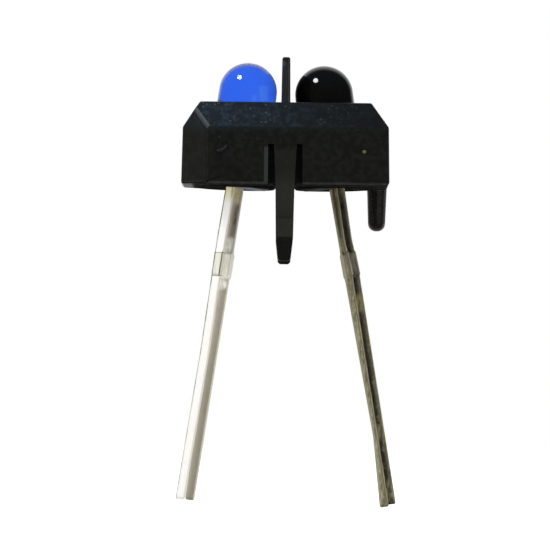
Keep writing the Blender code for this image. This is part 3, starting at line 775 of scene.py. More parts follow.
@dataclass(frozen=True)
class TinPlate:
    """Tin-plated steel, gold beside the epoxy and stained below it, with sheared flanks, dam-bar marks and
    painted shade, highlights and edge tones.
    """

    name: str
    upper: Colour
    lower: Colour
    stain: Colour
    flank: Colour
    # Painted edge tone: dark shade on the bright and grey leads' edges, a pale highlight on the brown and
    # olive ones.
    outline: Colour
    # Colour of the cut dam bar; on the grey lead it is a painted glare.
    sheared: Colour
    golden: Colour
    turn: float
    stains: float
    metallic: float = 0.5
    roughness: float = 0.3
    flank_specular: float = 0.12
    outlined: float = 0.8
    outlined_side: Outline = Outline.RIGHT
    outlined_low: float = 1.0
    outlined_down: Range = mm(-13.0, -3.0)
    rim: float = 0.0
    rim_radius: float = 0.1 * MM
    edge_radius: float = 0.035 * MM
    ragged: float = 0.5 * MM
    golden_to: float = -0.9 * MM
    tone: Range = mm(-6.5, -1.0)
    # Painted shade on one side of the lead; on the brown lead this colour is lighter, a painted lit side.
    side_shade_and_light: Colour = (0.3, 0.3, 0.3)
    shaded: float = 0.0
    shaded_low: float = 0.0
    shaded_gilt: float = 0.0
    shaded_across: Range = mm(-0.08, 0.08)
    shaded_down: float = -3.0 * MM
    fleck: Colour = (0.5, 0.47, 0.36)
    flecked: float = 0.0
    # Painted highlights: bands where the lead is made lighter.
    bright: Colour = (0.98, 0.95, 0.88)
    highlight_share: float = 1.0
    highlight_bands: tuple[Range, ...] = ()
    seam: float = 0.0
    seam_at: float = 0.0
    seam_to: float = -2.6 * MM
    seam_edge: Range = mm(0.01, 0.07)
    dam_lines: float = 0.0
    dam_line: float = 0.06 * MM
    dam_middle: float = -3.875 * MM
    dam_half: float = 0.575 * MM
    relief: float = 0.25
    relief_depth: float = 0.006 * MM

    def band(self, bench: NodeBench, effects: Effects, middle: float, half: float, soft: float) -> Socket:
        """A stretch of the lead between two heights."""
        return Patch((0.0, 0.0, middle), (1.0, 1.0, half), soft).mask(bench, effects)

    def own(self, bench: NodeBench, vector: Socket) -> Any:
        """The parts of a vector in the lead's own frame, which is turned about Z."""
        turn = {"Vector": vector, "Angle": radians(-self.turn)}
        return bench.split(bench.add("ShaderNodeVectorRotate", turn, rotation_type="Z_AXIS").outputs[0])

    def sides(self, bench: NodeBench, effects: Effects, cut: Socket) -> tuple[Socket, Socket]:
        """Masks of the two sheared flanks, and of the rounded edges on the outlined side.

        Args:
            bench: The bench of the material.
            effects: The shared shader groups.
            cut: Mask of the dam bar's stretch, where both sides are outlined.

        Returns:
            The mask of the flanks and the mask of the rounded edges.
        """
        side, normal = self.outlined_side.value, self.own(bench, bench.normal())
        across, ahead = bench.unsigned(normal["X"]), bench.unsigned(normal["Y"])
        rounded = bench.ramp(bench.fold("MINIMUM", across, ahead), 0.2, 0.34)
        if side:
            outer = bench.ramp(bench.times(normal["X"], side), 0.0, 0.1)
            rounded = bench.times(rounded, bench.most(outer, cut))
        if self.rim:
            wide = self.own(bench, bench.group(effects.edges, {"Radius": self.rim_radius})["Normal"])
            rim = bench.ramp(bench.times(wide["X"], side), 0.1, 0.4, 0.0, self.rim)
            rounded = bench.most(rounded, rim)
        return bench.ramp(across, 0.6, 0.9), rounded

    def across(self, bench: NodeBench, centreline: Range) -> Socket:
        """How far a point lies to the right of the lead's centreline, negative on its left."""
        place = bench.split(bench.place())
        return bench.less(place["X"], bench.plus(bench.times(place["Z"], centreline[1]), centreline[0]))

    def material(self, effects: Effects, centreline: Range) -> Material:
        """Builds the material.

        Args:
            effects: The shared shader groups.
            centreline: The lead's centreline, as its X at the underside and its gain with Z.

        Returns:
            The finished material.
        """
        material, bench, shader = new_material(self.name)
        marks = bench.group(effects.streaks, {"Spots": self.stains})
        streaks, brown, mottle = marks["Streaks"], marks["Brown"], marks["Mottle"]
        edges = bench.group(effects.edges, {"Radius": self.edge_radius})
        cut = self.band(bench, effects, self.dam_middle, self.dam_half, 0.03 * MM)
        inside = self.band(bench, effects, self.dam_middle, self.dam_half - self.dam_line, 0.03 * MM)
        flank, rounded = self.sides(bench, effects, cut)
        across = self.across(bench, centreline)
        height = bench.split(bench.place())["Z"]
        loose = bench.plus(height, bench.times(bench.noise(bench.place(), 2500.0), self.ragged))
        gilt = bench.ramp(loose, self.golden_to, self.golden_to + 0.7 * MM)
        shade = bench.ramp(loose, self.shaded_down, self.shaded_down + 0.5 * MM, self.shaded_low, self.shaded)
        shade = bench.between(gilt, shade, self.shaded_gilt)
        shade = bench.times(bench.ramp(across, *self.shaded_across), shade)
        # Painted highlights: bands where the lead is made lighter.
        glare = bench.between(streaks, self.highlight_share, self.highlight_share * 0.6)
        bands = [bench.times(self.band(bench, effects, *band, 0.3 * MM), glare) for band in self.highlight_bands]
        seam = bench.ramp(bench.unsigned(bench.less(across, self.seam_at)), *self.seam_edge, 1.0, 0.0)
        seam_reach = bench.ramp(loose, self.seam_to, self.seam_to + 0.8 * MM, 0.0, self.seam)
        # Painted edge tone along the rounded edges.
        painted_edge_tone = bench.between(streaks, self.outlined, self.outlined * 0.6)
        painted_edge_tone = bench.times(rounded, painted_edge_tone, bench.ramp(height, *self.outlined_down, self.outlined_low, 1.0))
        base = bench.lay(
            bench.blend(bench.ramp(loose, *self.tone), self.lower, self.upper),
            (gilt, self.golden),
            (bench.times(streaks, self.stains), self.stain),
            (brown, self.stain),
            # Painted shade on one side; a painted lit side on the brown lead.
            (bench.times(shade, bench.between(streaks, 1.0, 0.75)), self.side_shade_and_light),
            *((band, self.bright) for band in bands),
            (bench.times(mottle, self.flecked), self.fleck),
            (bench.times(flank, 0.85), self.flank),
            # The cut dam bar, with a painted glare on the grey lead.
            (bench.times(cut, bench.between(streaks, 0.9, 0.6)), self.sheared),
            (bench.times(mottle, self.stains * 0.6), self.stain),
            # Dark lines at the dam bar's ends: partly grooves, partly painted shade.
            (bench.times(bench.less(cut, inside, clamp=True), self.dam_lines), self.outline),
            (bench.times(seam, seam_reach), self.stain),
            (painted_edge_tone, self.outline),
        )
        dull = bench.times(bench.plus(brown, bench.times(flank, 2.0)), 0.2)
        relief = bench.less(streaks, brown)
        looks = {
            "Base Color": base,
            "Metallic": bench.between(flank, self.metallic, 0.0),
            "Specular IOR Level": bench.between(flank, 0.5, self.flank_specular),
            "Roughness": bench.plus(bench.between(streaks, self.roughness, self.roughness + 0.1), dull),
            "Normal": bench.bump(self.relief, self.relief_depth, relief, Normal=edges["Normal"]),
        }
        bench.feed(shader, looks)
        return material


@dataclass(frozen=True)
class FineFinish:
    """A finish with a fine unevenness, such as gold, a chip's polished top, lint or a crumb."""

    name: str
    colour: Colour
    deeper: Colour
    roughness: float
    metallic: float = 0.0
    scale: float = 6000.0
    spread: float = 0.08

    def material(self, effects: Effects) -> Material:
        """Builds the material.

        Args:
            effects: The shared shader groups.

        Returns:
            The finished material.
        """
        material, bench, shader = new_material(self.name)
        uneven = bench.group(effects.mottle, {"Scale": self.scale})["Mask"]
        looks = {
            "Base Color": bench.blend(uneven, self.colour, self.deeper),
            "Metallic": self.metallic,
            "Roughness": bench.between(uneven, self.roughness, self.roughness + self.spread),
        }
        bench.feed(shader, looks)
        return material


# Mesh tools


def put(name: str, data: Any) -> Piece:
    """Puts a new object in the scene.

    Args:
        name: Its name.
        data: Its mesh, light or camera.

    Returns:
        The object, at the origin.
    """
    piece = bpy.data.objects.new(name, data)
    bpy.context.scene.collection.objects.link(piece)
    return piece


def keep_mesh(name: str, shape: bmesh.types.BMesh, finish: Material, smooth: float = 30.0) -> Piece:
    """Makes an object of a bmesh in metres.

    Args:
        name: The piece's name.
        shape: Its mesh, which is freed.
        finish: Its material.
        smooth: Edges that turn further than this many degrees stay sharp.

    Returns:
        The new object, at the origin.
    """
    bmesh.ops.recalc_face_normals(shape, faces=shape.faces)
    mesh = bpy.data.meshes.new(name)
    shape.to_mesh(mesh)
    shape.free()
    mesh.materials.append(finish)
    mesh.shade_smooth()
    mesh.set_sharp_from_angle(angle=radians(smooth))
    return put(name, mesh)


def turned(profile: Sequence[Range], sides: int, closed: bool = False) -> bmesh.types.BMesh:
    """Turns a profile about Z.

    Args:
        profile: Its points as radius and height. An open one starts and ends on the axis.
        sides: Number of steps of the turn.
        closed: Joins the last point to the first.

    Returns:
        The turned mesh.
    """
    shape = bmesh.new()
    points = [shape.verts.new((radius, 0.0, height)) for radius, height in profile]
    following = points[1:] + points[:1] if closed else points[1:]
    edges = [shape.edges.new(pair) for pair in zip(points, following)]
    bmesh.ops.spin(shape, geom=points + edges, axis=(0, 0, 1), cent=(0, 0, 0), angle=2 * pi, steps=sides)
    bmesh.ops.remove_doubles(shape, verts=shape.verts, dist=1e-7)
    return shape


def arc(centre: Range, radius: float, start: float, end: float, steps: int) -> list[Range]:
    """Points of an arc in the plane of radius and height.

    Args:
        centre: Its centre.
        radius: Its radius.
        start: First angle in degrees.
        end: Last angle in degrees.
        steps: Number of chords.

    Returns:
        The points, one more than the chords.
    """
    angles = [radians(start + (end - start) * i / steps) for i in range(steps + 1)]
    return [(centre[0] + radius * cos(angle), centre[1] + radius * sin(angle)) for angle in angles]


def settle(piece: Piece, slot: Slot, *replaced: str) -> None:
    """Hands a finished piece to the frame.

    Args:
        piece: The piece.
        slot: The record's slot that the piece is logged under.
        *replaced: CAD nodes that it stands for.
    """
    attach(piece, BODY)
    if replaced:
        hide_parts(*replaced)
    log.info("%s: %d faces, slot %s", piece.name, len(piece.data.polygons), slot.value)


def dress(frame: dict[str, Any], node: str, finish: Material) -> None:
    """Gives a CAD node its finish.

    Args:
        node: The node's name.
        finish: Its material.
    """
    mesh = frame["nodes"][node].data
    mesh.materials.clear()
    mesh.materials.append(finish)
    log.info("%s: dressed in %s", node, finish.name)


def find_centreline(mesh: bpy.types.Mesh, below: float) -> Range:
    """Fits a straight line to the lower part of a lead.

    Args:
        mesh: The lead's mesh.
        below: Height below which its points count.

    Returns:
        The line's X at the underside, and how much X it gains with Z.
    """
    points = [vertex.co for vertex in mesh.vertices if vertex.co.z < below]
    x, z = (sum(point[axis] for point in points) / len(points) for axis in (0, 2))
    spread = sum((point.z - z) ** 2 for point in points)
    gain = sum((point.x - x) * (point.z - z) for point in points) / spread
    return x - gain * z, gain


class GrowthTree:
    """A Geometry Nodes tree that is run once on an empty mesh, or on a copy of a node's mesh."""

    def __init__(self, name: str, inputs: dict[str, Any]) -> None:
        """Opens the tree.

        Args:
            name: Its name.
            inputs: Its inputs beside the mesh and the material.
        """
        sockets = {"Mesh": SocketKind.MESH, **inputs, "Finish": SocketKind.MATERIAL}
        grown = {"Mesh": SocketKind.MESH}
        self.bench, self.given, self.result = open_group(name, TreeKind.GEOMETRY, sockets, grown)

    def close(self, grown: Socket) -> None:
        """Ends the tree with real meshes in their finish.

        Args:
            grown: What the tree has grown.
        """
        real = self.bench.add("GeometryNodeRealizeInstances", {0: grown}).outputs[0]
        finished = {"Geometry": real, "Material": self.given["Finish"]}
        dressed = self.bench.add("GeometryNodeSetMaterial", finished)
        self.bench.feed(self.result, {"Mesh": dressed.outputs[0]})

    def grow(self, name: str, values: dict[str, Any], start: bpy.types.Mesh | None = None) -> Piece:
        """Runs the tree and keeps its result as a plain mesh.

        Args:
            name: Name of the piece.
            values: Values of the tree's inputs, by name.
            start: Mesh that it starts from.

        Returns:
            The new object, with no modifier left on it.
        """
        source = put(f"{name}_source", start.copy() if start else bpy.data.meshes.new(name))
        modifier = source.modifiers.new(name, "NODES")
        modifier.node_group = self.bench.tree
        for item in self.bench.tree.interface.items_tree:
            if item.item_type == "SOCKET" and item.in_out == "INPUT" and item.name in values:
                modifier[item.identifier] = values[item.name]
        graph = bpy.context.evaluated_depsgraph_get()
        mesh = bpy.data.meshes.new_from_object(source.evaluated_get(graph), depsgraph=graph)
        source.modifiers.remove(modifier)
        bpy.data.objects.remove(source)
        mesh.name = name
        return put(name, mesh)


class StrandTree(GrowthTree):
    """Grows a round strand along a bend, with a ball at its start and a flattened foot at its end."""

    bend_points = 24
    ball_flatness = 0.75
    foot_flatness = 0.45
    ends = ("Start", "Middle", "End")
    radii = ("Strand Radius", "Ball Radius", "Foot Radius")

    def __init__(self) -> None:
        """Builds the tree."""
        sizes = dict(zip(self.radii, mm(0.01, 0.02, 0.02)))
        super().__init__("strand", {**dict.fromkeys(self.ends, SocketKind.VECTOR), **sizes, "Sides": 12})
        bench, given = self.bench, self.given
        route = {"Resolution": self.bend_points, **{name: given[name] for name in self.ends}}
        bend = bench.add("GeometryNodeCurveQuadraticBezier", route).outputs[0]
        ring = {"Resolution": given["Sides"], "Radius": given["Strand Radius"]}
        section = bench.add("GeometryNodeCurvePrimitiveCircle", ring).outputs[0]
        swept = {"Curve": bend, "Profile Curve": section, "Fill Caps": True}
        strand = bench.add("GeometryNodeCurveToMesh", swept).outputs[0]
        ball = self.knob("Start", "Ball Radius", self.ball_flatness)
        foot = self.knob("End", "Foot Radius", self.foot_flatness)
        joined = bench.add("GeometryNodeJoinGeometry")
        for part in (strand, ball, foot):
            bench.feed(joined, {0: part})
        self.close(bench.add("GeometryNodeSetShadeSmooth", {"Geometry": joined.outputs[0]}).outputs[0])

    def knob(self, place: str, radius: str, flatness: float) -> Socket:
        """A squashed ball at one end of the strand.

        Args:
            place: Name of the input that says where it is.
            radius: Name of the input with its radius.
            flatness: Its height as a share of its width.

        Returns:
            The ball's mesh.
        """
        sphere = {"Segments": 16, "Rings": 10, "Radius": self.given[radius]}
        mesh = self.bench.add("GeometryNodeMeshUVSphere", sphere).outputs["Mesh"]
        move = {"Geometry": mesh, "Translation": self.given[place], "Scale": (1.0, 1.0, flatness)}
        return self.bench.add("GeometryNodeTransform", move).outputs[0]

    def lay(
        self, name: str, route: Sequence[Any], radii: Sequence[float], sides: int, finish: Material
    ) -> Piece:
        """Grows one strand.

        Args:
            name: Name of the piece.
            route: Its start, the point that it bends towards and its end.
            radii: Radius of the strand, of its ball and of its foot.
            sides: Number of sides of the strand.
            finish: Its material.

        Returns:
            The new object.
        """
        values = {**dict(zip(self.ends, route)), **dict(zip(self.radii, radii))}
        return self.grow(name, {**values, "Sides": sides, "Finish": finish})


class FleckTree(GrowthTree):
    """Strews flat flecks over a mesh, most of them where it faces up."""

    facing = (-0.05, 0.5)
    share_on_walls = 0.04
    lean = (0.3, 0.3, 2 * pi)
    width = (0.35, 0.9)
    thickness = 0.22

    def __init__(self) -> None:
        """Builds the tree."""
        inputs = {"Density": 1.0, "Smallest": 0.01 * MM, "Largest": 0.04 * MM, "Seed": 1}
        super().__init__("flecks", inputs)
        bench, given = self.bench, self.given
        up = bench.split(bench.add("GeometryNodeInputNormal").outputs[0])["Z"]
        density = bench.times(bench.ramp(up, *self.facing, self.share_on_walls), given["Density"])
        strewn = {"Mesh": given["Mesh"], "Density": density, "Seed": given["Seed"]}
        points = bench.add("GeometryNodeDistributePointsOnFaces", strewn, distribute_method="RANDOM").outputs
        fleck = bench.add("GeometryNodeMeshIcoSphere", {"Radius": 1.0, "Subdivisions": 1}).outputs["Mesh"]
        turn = {0: points["Rotation"], 1: self.chance("FLOAT_VECTOR", (0.0, 0.0, 0.0), self.lean, 3)}
        spin = bench.add("FunctionNodeRotateRotation", turn, rotation_space="LOCAL").outputs[0]
        length = self.chance("FLOAT", given["Smallest"], given["Largest"], 5)
        width = bench.times(length, self.chance("FLOAT", *self.width, 7))
        scale = bench.join(length, width, bench.times(length, self.thickness))
        laid = {"Points": points["Points"], "Instance": fleck, "Rotation": spin, "Scale": scale}
        self.close(bench.add("GeometryNodeInstanceOnPoints", laid).outputs[0])

    def chance(self, kind: str, low: Any, high: Any, seed: int) -> Socket:
        """A random value for each fleck.

        Args:
            kind: Data type of the value.
            low: Its least value.
            high: Its greatest value.
            seed: Its own seed.

        Returns:
            The value's socket.
        """
        node = self.bench.add("FunctionNodeRandomValue", data_type=kind)
        wanted = {"FLOAT_VECTOR": "VECTOR", "FLOAT": "VALUE"}[kind]
        given = {"Min": low, "Max": high, "Seed": seed}
        for number, socket in enumerate(node.inputs):
            if socket.name in given and (socket.type == wanted or socket.name == "Seed"):
                self.bench.feed(node, {number: given[socket.name]})
        return next(socket for socket in node.outputs if socket.type == wanted)


class FingerTree(GrowthTree):
    """Lays a row of thin metal fingers, as on the top of a chip."""

    def __init__(self) -> None:
        """Builds the tree."""
        sizes = dict.fromkeys(("Pitch", "First", "Finger"), SocketKind.VECTOR)
        super().__init__("fingers", {"Count": 5, **sizes})
        bench, given = self.bench, self.given
        row = {"Count": given["Count"], "Start Location": given["First"], "Offset": given["Pitch"]}
        line = bench.add("GeometryNodeMeshLine", row, mode="OFFSET").outputs[0]
        bar = bench.add("GeometryNodeMeshCube", {"Size": given["Finger"]}).outputs["Mesh"]
        self.close(bench.add("GeometryNodeInstanceOnPoints", {"Points": line, "Instance": bar}).outputs[0])


# Sub-assemblies


@dataclass
class Housing:
    """The black moulding, with the dust and lint that lie on it."""

    frame: dict[str, Any]
    effects: Effects
    flecks: FleckTree
    strand: StrandTree
    fleck_density: float = 1.5e6
    fleck_smallest: float = 0.015 * MM
    fleck_largest: float = 0.06 * MM
    fleck_seed: int = 11
    front_y: float = -2.89 * MM
    fibre_route: tuple[Range, ...] = (mm(-3.27, 1.6), mm(-3.02, 1.6), mm(-2.88, 1.86))
    fibre_radii: Point = mm(0.08, 0.12, 0.1)
    fibre_sides: int = 8
    crumb_at: Range = mm(3.86, 1.63)
    crumb_size: Point = mm(0.1, 0.025, 0.08)
    collar_inner: float = 1.78 * MM
    collar_outer: float = 1.95 * MM
    collar_drop: float = 0.105 * MM
    collar_tilt: float = 1.17
    collar_root: float = 0.06 * MM
    collar_round: float = 0.05 * MM
    collar_x: float = 2.45 * MM
    collar_sides: int = 96

    def build(self) -> None:
        """Dresses the moulding, adds the collars round its pockets and lays the dust."""
        effects = self.effects
        dress(self.frame, "housing", MouldedPlastic().material(effects))
        matt = MouldedPlastic("matt_moulded_plastic", roughness=0.85, specular=0.05).material(effects)
        for end in End:
            self.add_collar(end, matt)
        lint = {"roughness": 0.8, "scale": 4000.0, "spread": 0.0}
        pale = FineFinish("pale_lint", (0.028, 0.036, 0.052), (0.014, 0.019, 0.026), **lint)
        faint = FineFinish("faint_lint", (0.0075, 0.0095, 0.015), (0.005, 0.006, 0.009), **lint)
        self.strew(pale.material(effects))
        route = [(x, self.front_y, z) for x, z in self.fibre_route]
        finish = faint.material(effects)
        settle(self.strand.lay("lint_fibre", route, self.fibre_radii, self.fibre_sides, finish), Slot.HOUSING)
        crumb = FineFinish("yellow_crumb", (0.12, 0.15, 0.02), (0.06, 0.08, 0.015), 0.6)
        self.lay_crumb(crumb.material(effects))

    def add_collar(self, end: End, plastic: Material) -> None:
        """Adds the low collar round a pocket's mouth, which stands a little below the housing's underside.

        Args:
            end: The pocket's end of the housing.
            plastic: The collar's finish.
        """
        radius, top, low = self.collar_round, self.collar_root, -self.collar_drop
        outline = [
            (self.collar_inner, top),
            *arc((self.collar_inner + radius, low + radius), radius, 180, 270, 4),
            *arc((self.collar_outer - radius, low + radius), radius, 270, 360, 4),
            (self.collar_outer, top),
        ]
        shape = turned(outline, self.collar_sides, closed=True)
        tilt = Matrix.Rotation(-end.value * radians(self.collar_tilt), 4, "Y")
        place = Matrix.Translation((end.value * self.collar_x, 0.0, 0.0))
        bmesh.ops.transform(shape, matrix=place @ tilt, verts=shape.verts)
        settle(keep_mesh(f"{end.name.lower()}_collar", shape, plastic), Slot.HOUSING)

    def strew(self, lint: Material) -> None:
        """Strews flecks of dust, most of them on the slopes.

        Args:
            lint: The flecks' finish.
        """
        values = {
            "Density": self.fleck_density,
            "Smallest": self.fleck_smallest,
            "Largest": self.fleck_largest,
            "Seed": self.fleck_seed,
            "Finish": lint,
        }
        settle(self.flecks.grow("dust_flecks", values, self.frame["nodes"]["housing"].data), Slot.HOUSING)

    def lay_crumb(self, finish: Material) -> None:
        """Lays the small yellow-green crumb on the front wall.

        Args:
            finish: The crumb's finish.
        """
        shape = bmesh.new()
        bmesh.ops.create_icosphere(shape, subdivisions=2, radius=1.0)
        x, z = self.crumb_at
        place = Matrix.Translation((x, self.front_y, z)) @ Matrix.Diagonal((*self.crumb_size, 1.0))
        bmesh.ops.transform(shape, matrix=place, verts=shape.verts)
        settle(keep_mesh("yellow_crumb", shape, finish, 60.0), Slot.HOUSING)


@dataclass(frozen=True)
class DeviceFit:
    """Where one device sits in the housing and how its frame is turned."""

    end: End
    frame_turn: float
    frame_shift: float
    dome_rise: float
    tilt: float = 7.4
    web: float = 0.94 * MM
    bore_radius: float = 1.47 * MM
    housing_height: float = 4.08 * MM

    def seat(self) -> Matrix:
        """Finds the way from the device's own frame, axis along Z, to its place in the housing.

        Returns:
            The matrix.
        """
        lean = radians(self.tilt)
        away = self.web / 2 + self.bore_radius / cos(lean) + self.housing_height * tan(lean)
        leaning = Matrix.Rotation(-self.end.value * lean, 4, "Y")
        return Matrix.Translation((self.end.value * away, 0.0, 0.0)) @ leaning

    def place(self) -> Matrix:
        """The seat with the lead frame's turn about the device's axis and its way off centre."""
        turn = Matrix.Rotation(radians(self.end.value * self.frame_turn), 4, "Z")
        return self.seat() @ Matrix.Translation((self.end.value * self.frame_shift, 0.0, 0.0)) @ turn

    def dome_height(self) -> float:
        """Height of the dome's centre along the device's axis."""
        return (self.housing_height + self.dome_rise) / cos(radians(self.tilt))


@dataclass
class EpoxyBody:
    """One cast body: flange with a flat, drafted barrel and dome."""

    name: str
    slot: Slot
    fit: DeviceFit
    finish: Material
    node: str
    dome_radius: float = 1.43 * MM
    base_radius: float = 1.52 * MM
    flange_radius: float = 1.72 * MM
    flange_height: float = 0.9 * MM
    flange_flat: float = 1.63 * MM
    foot: float = 0.24 * MM
    edge: float = 0.08 * MM
    sides: int = 128

    def profile(self) -> list[Range]:
        """Draws the turned outline.

        Returns:
            Its points, from the underside's middle to the dome's top.
        """
        foot, edge, top = self.foot, self.edge, self.flange_height
        dome = self.fit.dome_height()
        return [
            (0.0, 0.0),
            *arc((self.flange_radius - foot, foot), foot, -90, 0, 10),
            *arc((self.flange_radius - edge, top - edge), edge, 0, 90, 5),
            (self.base_radius + edge / 2, top),
            (self.base_radius, top + edge / 2),
            *arc((0.0, dome), self.dome_radius, 0, 90, 40)[:-1],
            (0.0, dome + self.dome_radius),
        ]

    def build(self) -> None:
        """Casts the body round its lead frame."""
        shape = turned(self.profile(), self.sides)
        everything = shape.verts[:] + shape.edges[:] + shape.faces[:]
        cut = {"plane_co": (0.0, -self.flange_flat, 0.0), "plane_no": (0, -1, 0), "clear_outer": True}
        bmesh.ops.bisect_plane(shape, geom=everything, dist=1e-8, **cut)
        bmesh.ops.holes_fill(shape, edges=[edge for edge in shape.edges if edge.is_boundary])
        bmesh.ops.transform(shape, matrix=self.fit.seat(), verts=shape.verts)
        settle(keep_mesh(self.name, shape, self.finish), self.slot, self.node)


@dataclass
class Chip:
    """A chip on its carrier, with its metal fingers, its bond pad and its wire."""

    frame: dict[str, Any]
    name: str
    fit: DeviceFit
    die: Material
    gold: Material
    strand: StrandTree
    fingers: FingerTree
    side: float
    top: float
    finger_count: int
    finger_reach: float = 0.82
    finger_share: float = 0.3
    finger_height: float = 0.008 * MM
    row_share: float = 0.8
    post_top: float = 2.9 * MM
    post_reach: float = 0.906 * MM
    loop_rise: float = 0.62 * MM
    wire_radius: float = 0.016 * MM
    wire_sides: int = 12
    ball_radius: float = 0.045 * MM
    ball_rise: float = 0.027 * MM

    def build(self) -> None:
        """Dresses the chip, lays its fingers and bonds it."""
        dress(self.frame, f"{self.name}_chip", self.die)
        pitch = self.row_share * self.side / self.finger_count
        values = {
            "Count": self.finger_count,
            "Pitch": (pitch, 0.0, 0.0),
            "First": (-pitch * (self.finger_count - 1) / 2, 0.0, self.top),
            "Finger": (pitch * self.finger_share, self.side * self.finger_reach, self.finger_height),
            "Finish": self.gold,
        }
        self.seat(self.fingers.grow(f"{self.name}_chip_fingers", values), Slot.CHIPS)
        self.seat(self.bond(), Slot.BOND_WIRES, f"{self.name}_bond_wire")

    def seat(self, piece: Piece, slot: Slot, *replaced: str) -> None:
        """Moves a piece from the device's own frame to its place, and hands it over."""
        piece.data.transform(self.fit.place())
        settle(piece, slot, *replaced)

    def bond(self) -> Piece:
        """Loops the wire from the chip's middle to the post.

        Returns:
            The wire, in the device's own frame.
        """
        start = Vector((0.0, 0.0, self.top + self.ball_rise))
        end = Vector((0.0, self.post_reach, self.post_top + self.ball_rise))
        middle = (start + end) / 2 + Vector((0.0, 0.0, self.loop_rise))
        radii = (self.wire_radius, self.ball_radius, self.ball_radius)
        route = (start, middle, end)
        return self.strand.lay(f"{self.name}_gold_wire", route, radii, self.wire_sides, self.gold)


# Studio


@dataclass(frozen=True)
class Lamp:
    """One soft lamp, aimed at the part."""

    name: str
    towards: Point
    distance: float
    size: float
    watts: float
    colour: Colour = WHITE
    stretch: float = 1.0
    stretched_along: Point = OUTWARDS

    def hang(self, target: Vector) -> None:
        """Hangs the lamp.

        Args:
            target: The point that it shines at.
        """
        light = bpy.data.lights.new(self.name, "AREA")
        light.shape = "ELLIPSE"
        light.size = self.size
        light.size_y = self.size * self.stretch
        light.energy = self.watts
        light.color = self.colour
        lamp = put(self.name, light)
        direction = Vector(self.towards).normalized()
        lamp.location = target + direction * self.distance
        along = Vector(self.stretched_along)
        along = (along - direction * along.dot(direction)).normalized()
        lamp.rotation_euler = Matrix((along.cross(direction), along, direction)).transposed().to_euler()
        lamp.visible_camera = False


@dataclass(frozen=True)
class PhotoCamera:
    """The camera that took the photograph, found from the part's own sizes in it."""

    distance: float = 250.0 * MM
    elevation: float = -1.85
    roll: float = 0.65
    pixels_per_metre: float = 20500.0
    anchor: Point = mm(0.0, -2.9, 0.0)
    anchor_pixel: Range = (285.0, 184.3)
    frame_pixels: int = 550
    sensor: float = 36.0

    def set_up(self) -> None:
        """Makes the camera and has the scene look through it."""
        tilt, roll = radians(self.elevation), radians(self.roll)
        ahead = Vector((0.0, cos(tilt), -sin(tilt)))
        right = Vector((1.0, 0.0, 0.0))
        above = right.cross(ahead)
        across = right * cos(roll) + above * sin(roll)
        upwards = above * cos(roll) - right * sin(roll)
        focal = self.pixels_per_metre * self.distance
        half = self.frame_pixels / 2
        aside = across * ((self.anchor_pixel[0] - half) / focal)
        raised = upwards * ((half - self.anchor_pixel[1]) / focal)
        eye = Vector(self.anchor) - (ahead + aside + raised) * self.distance
        data = bpy.data.cameras.new("camera")
        data.sensor_width = self.sensor
        data.sensor_fit = "HORIZONTAL"
        data.lens = focal / self.frame_pixels * self.sensor
        camera = put("camera", data)
        axes = Matrix((across, upwards, -ahead)).transposed()
        camera.matrix_world = Matrix.Translation(eye) @ axes.to_4x4()
        bpy.context.scene.camera = camera


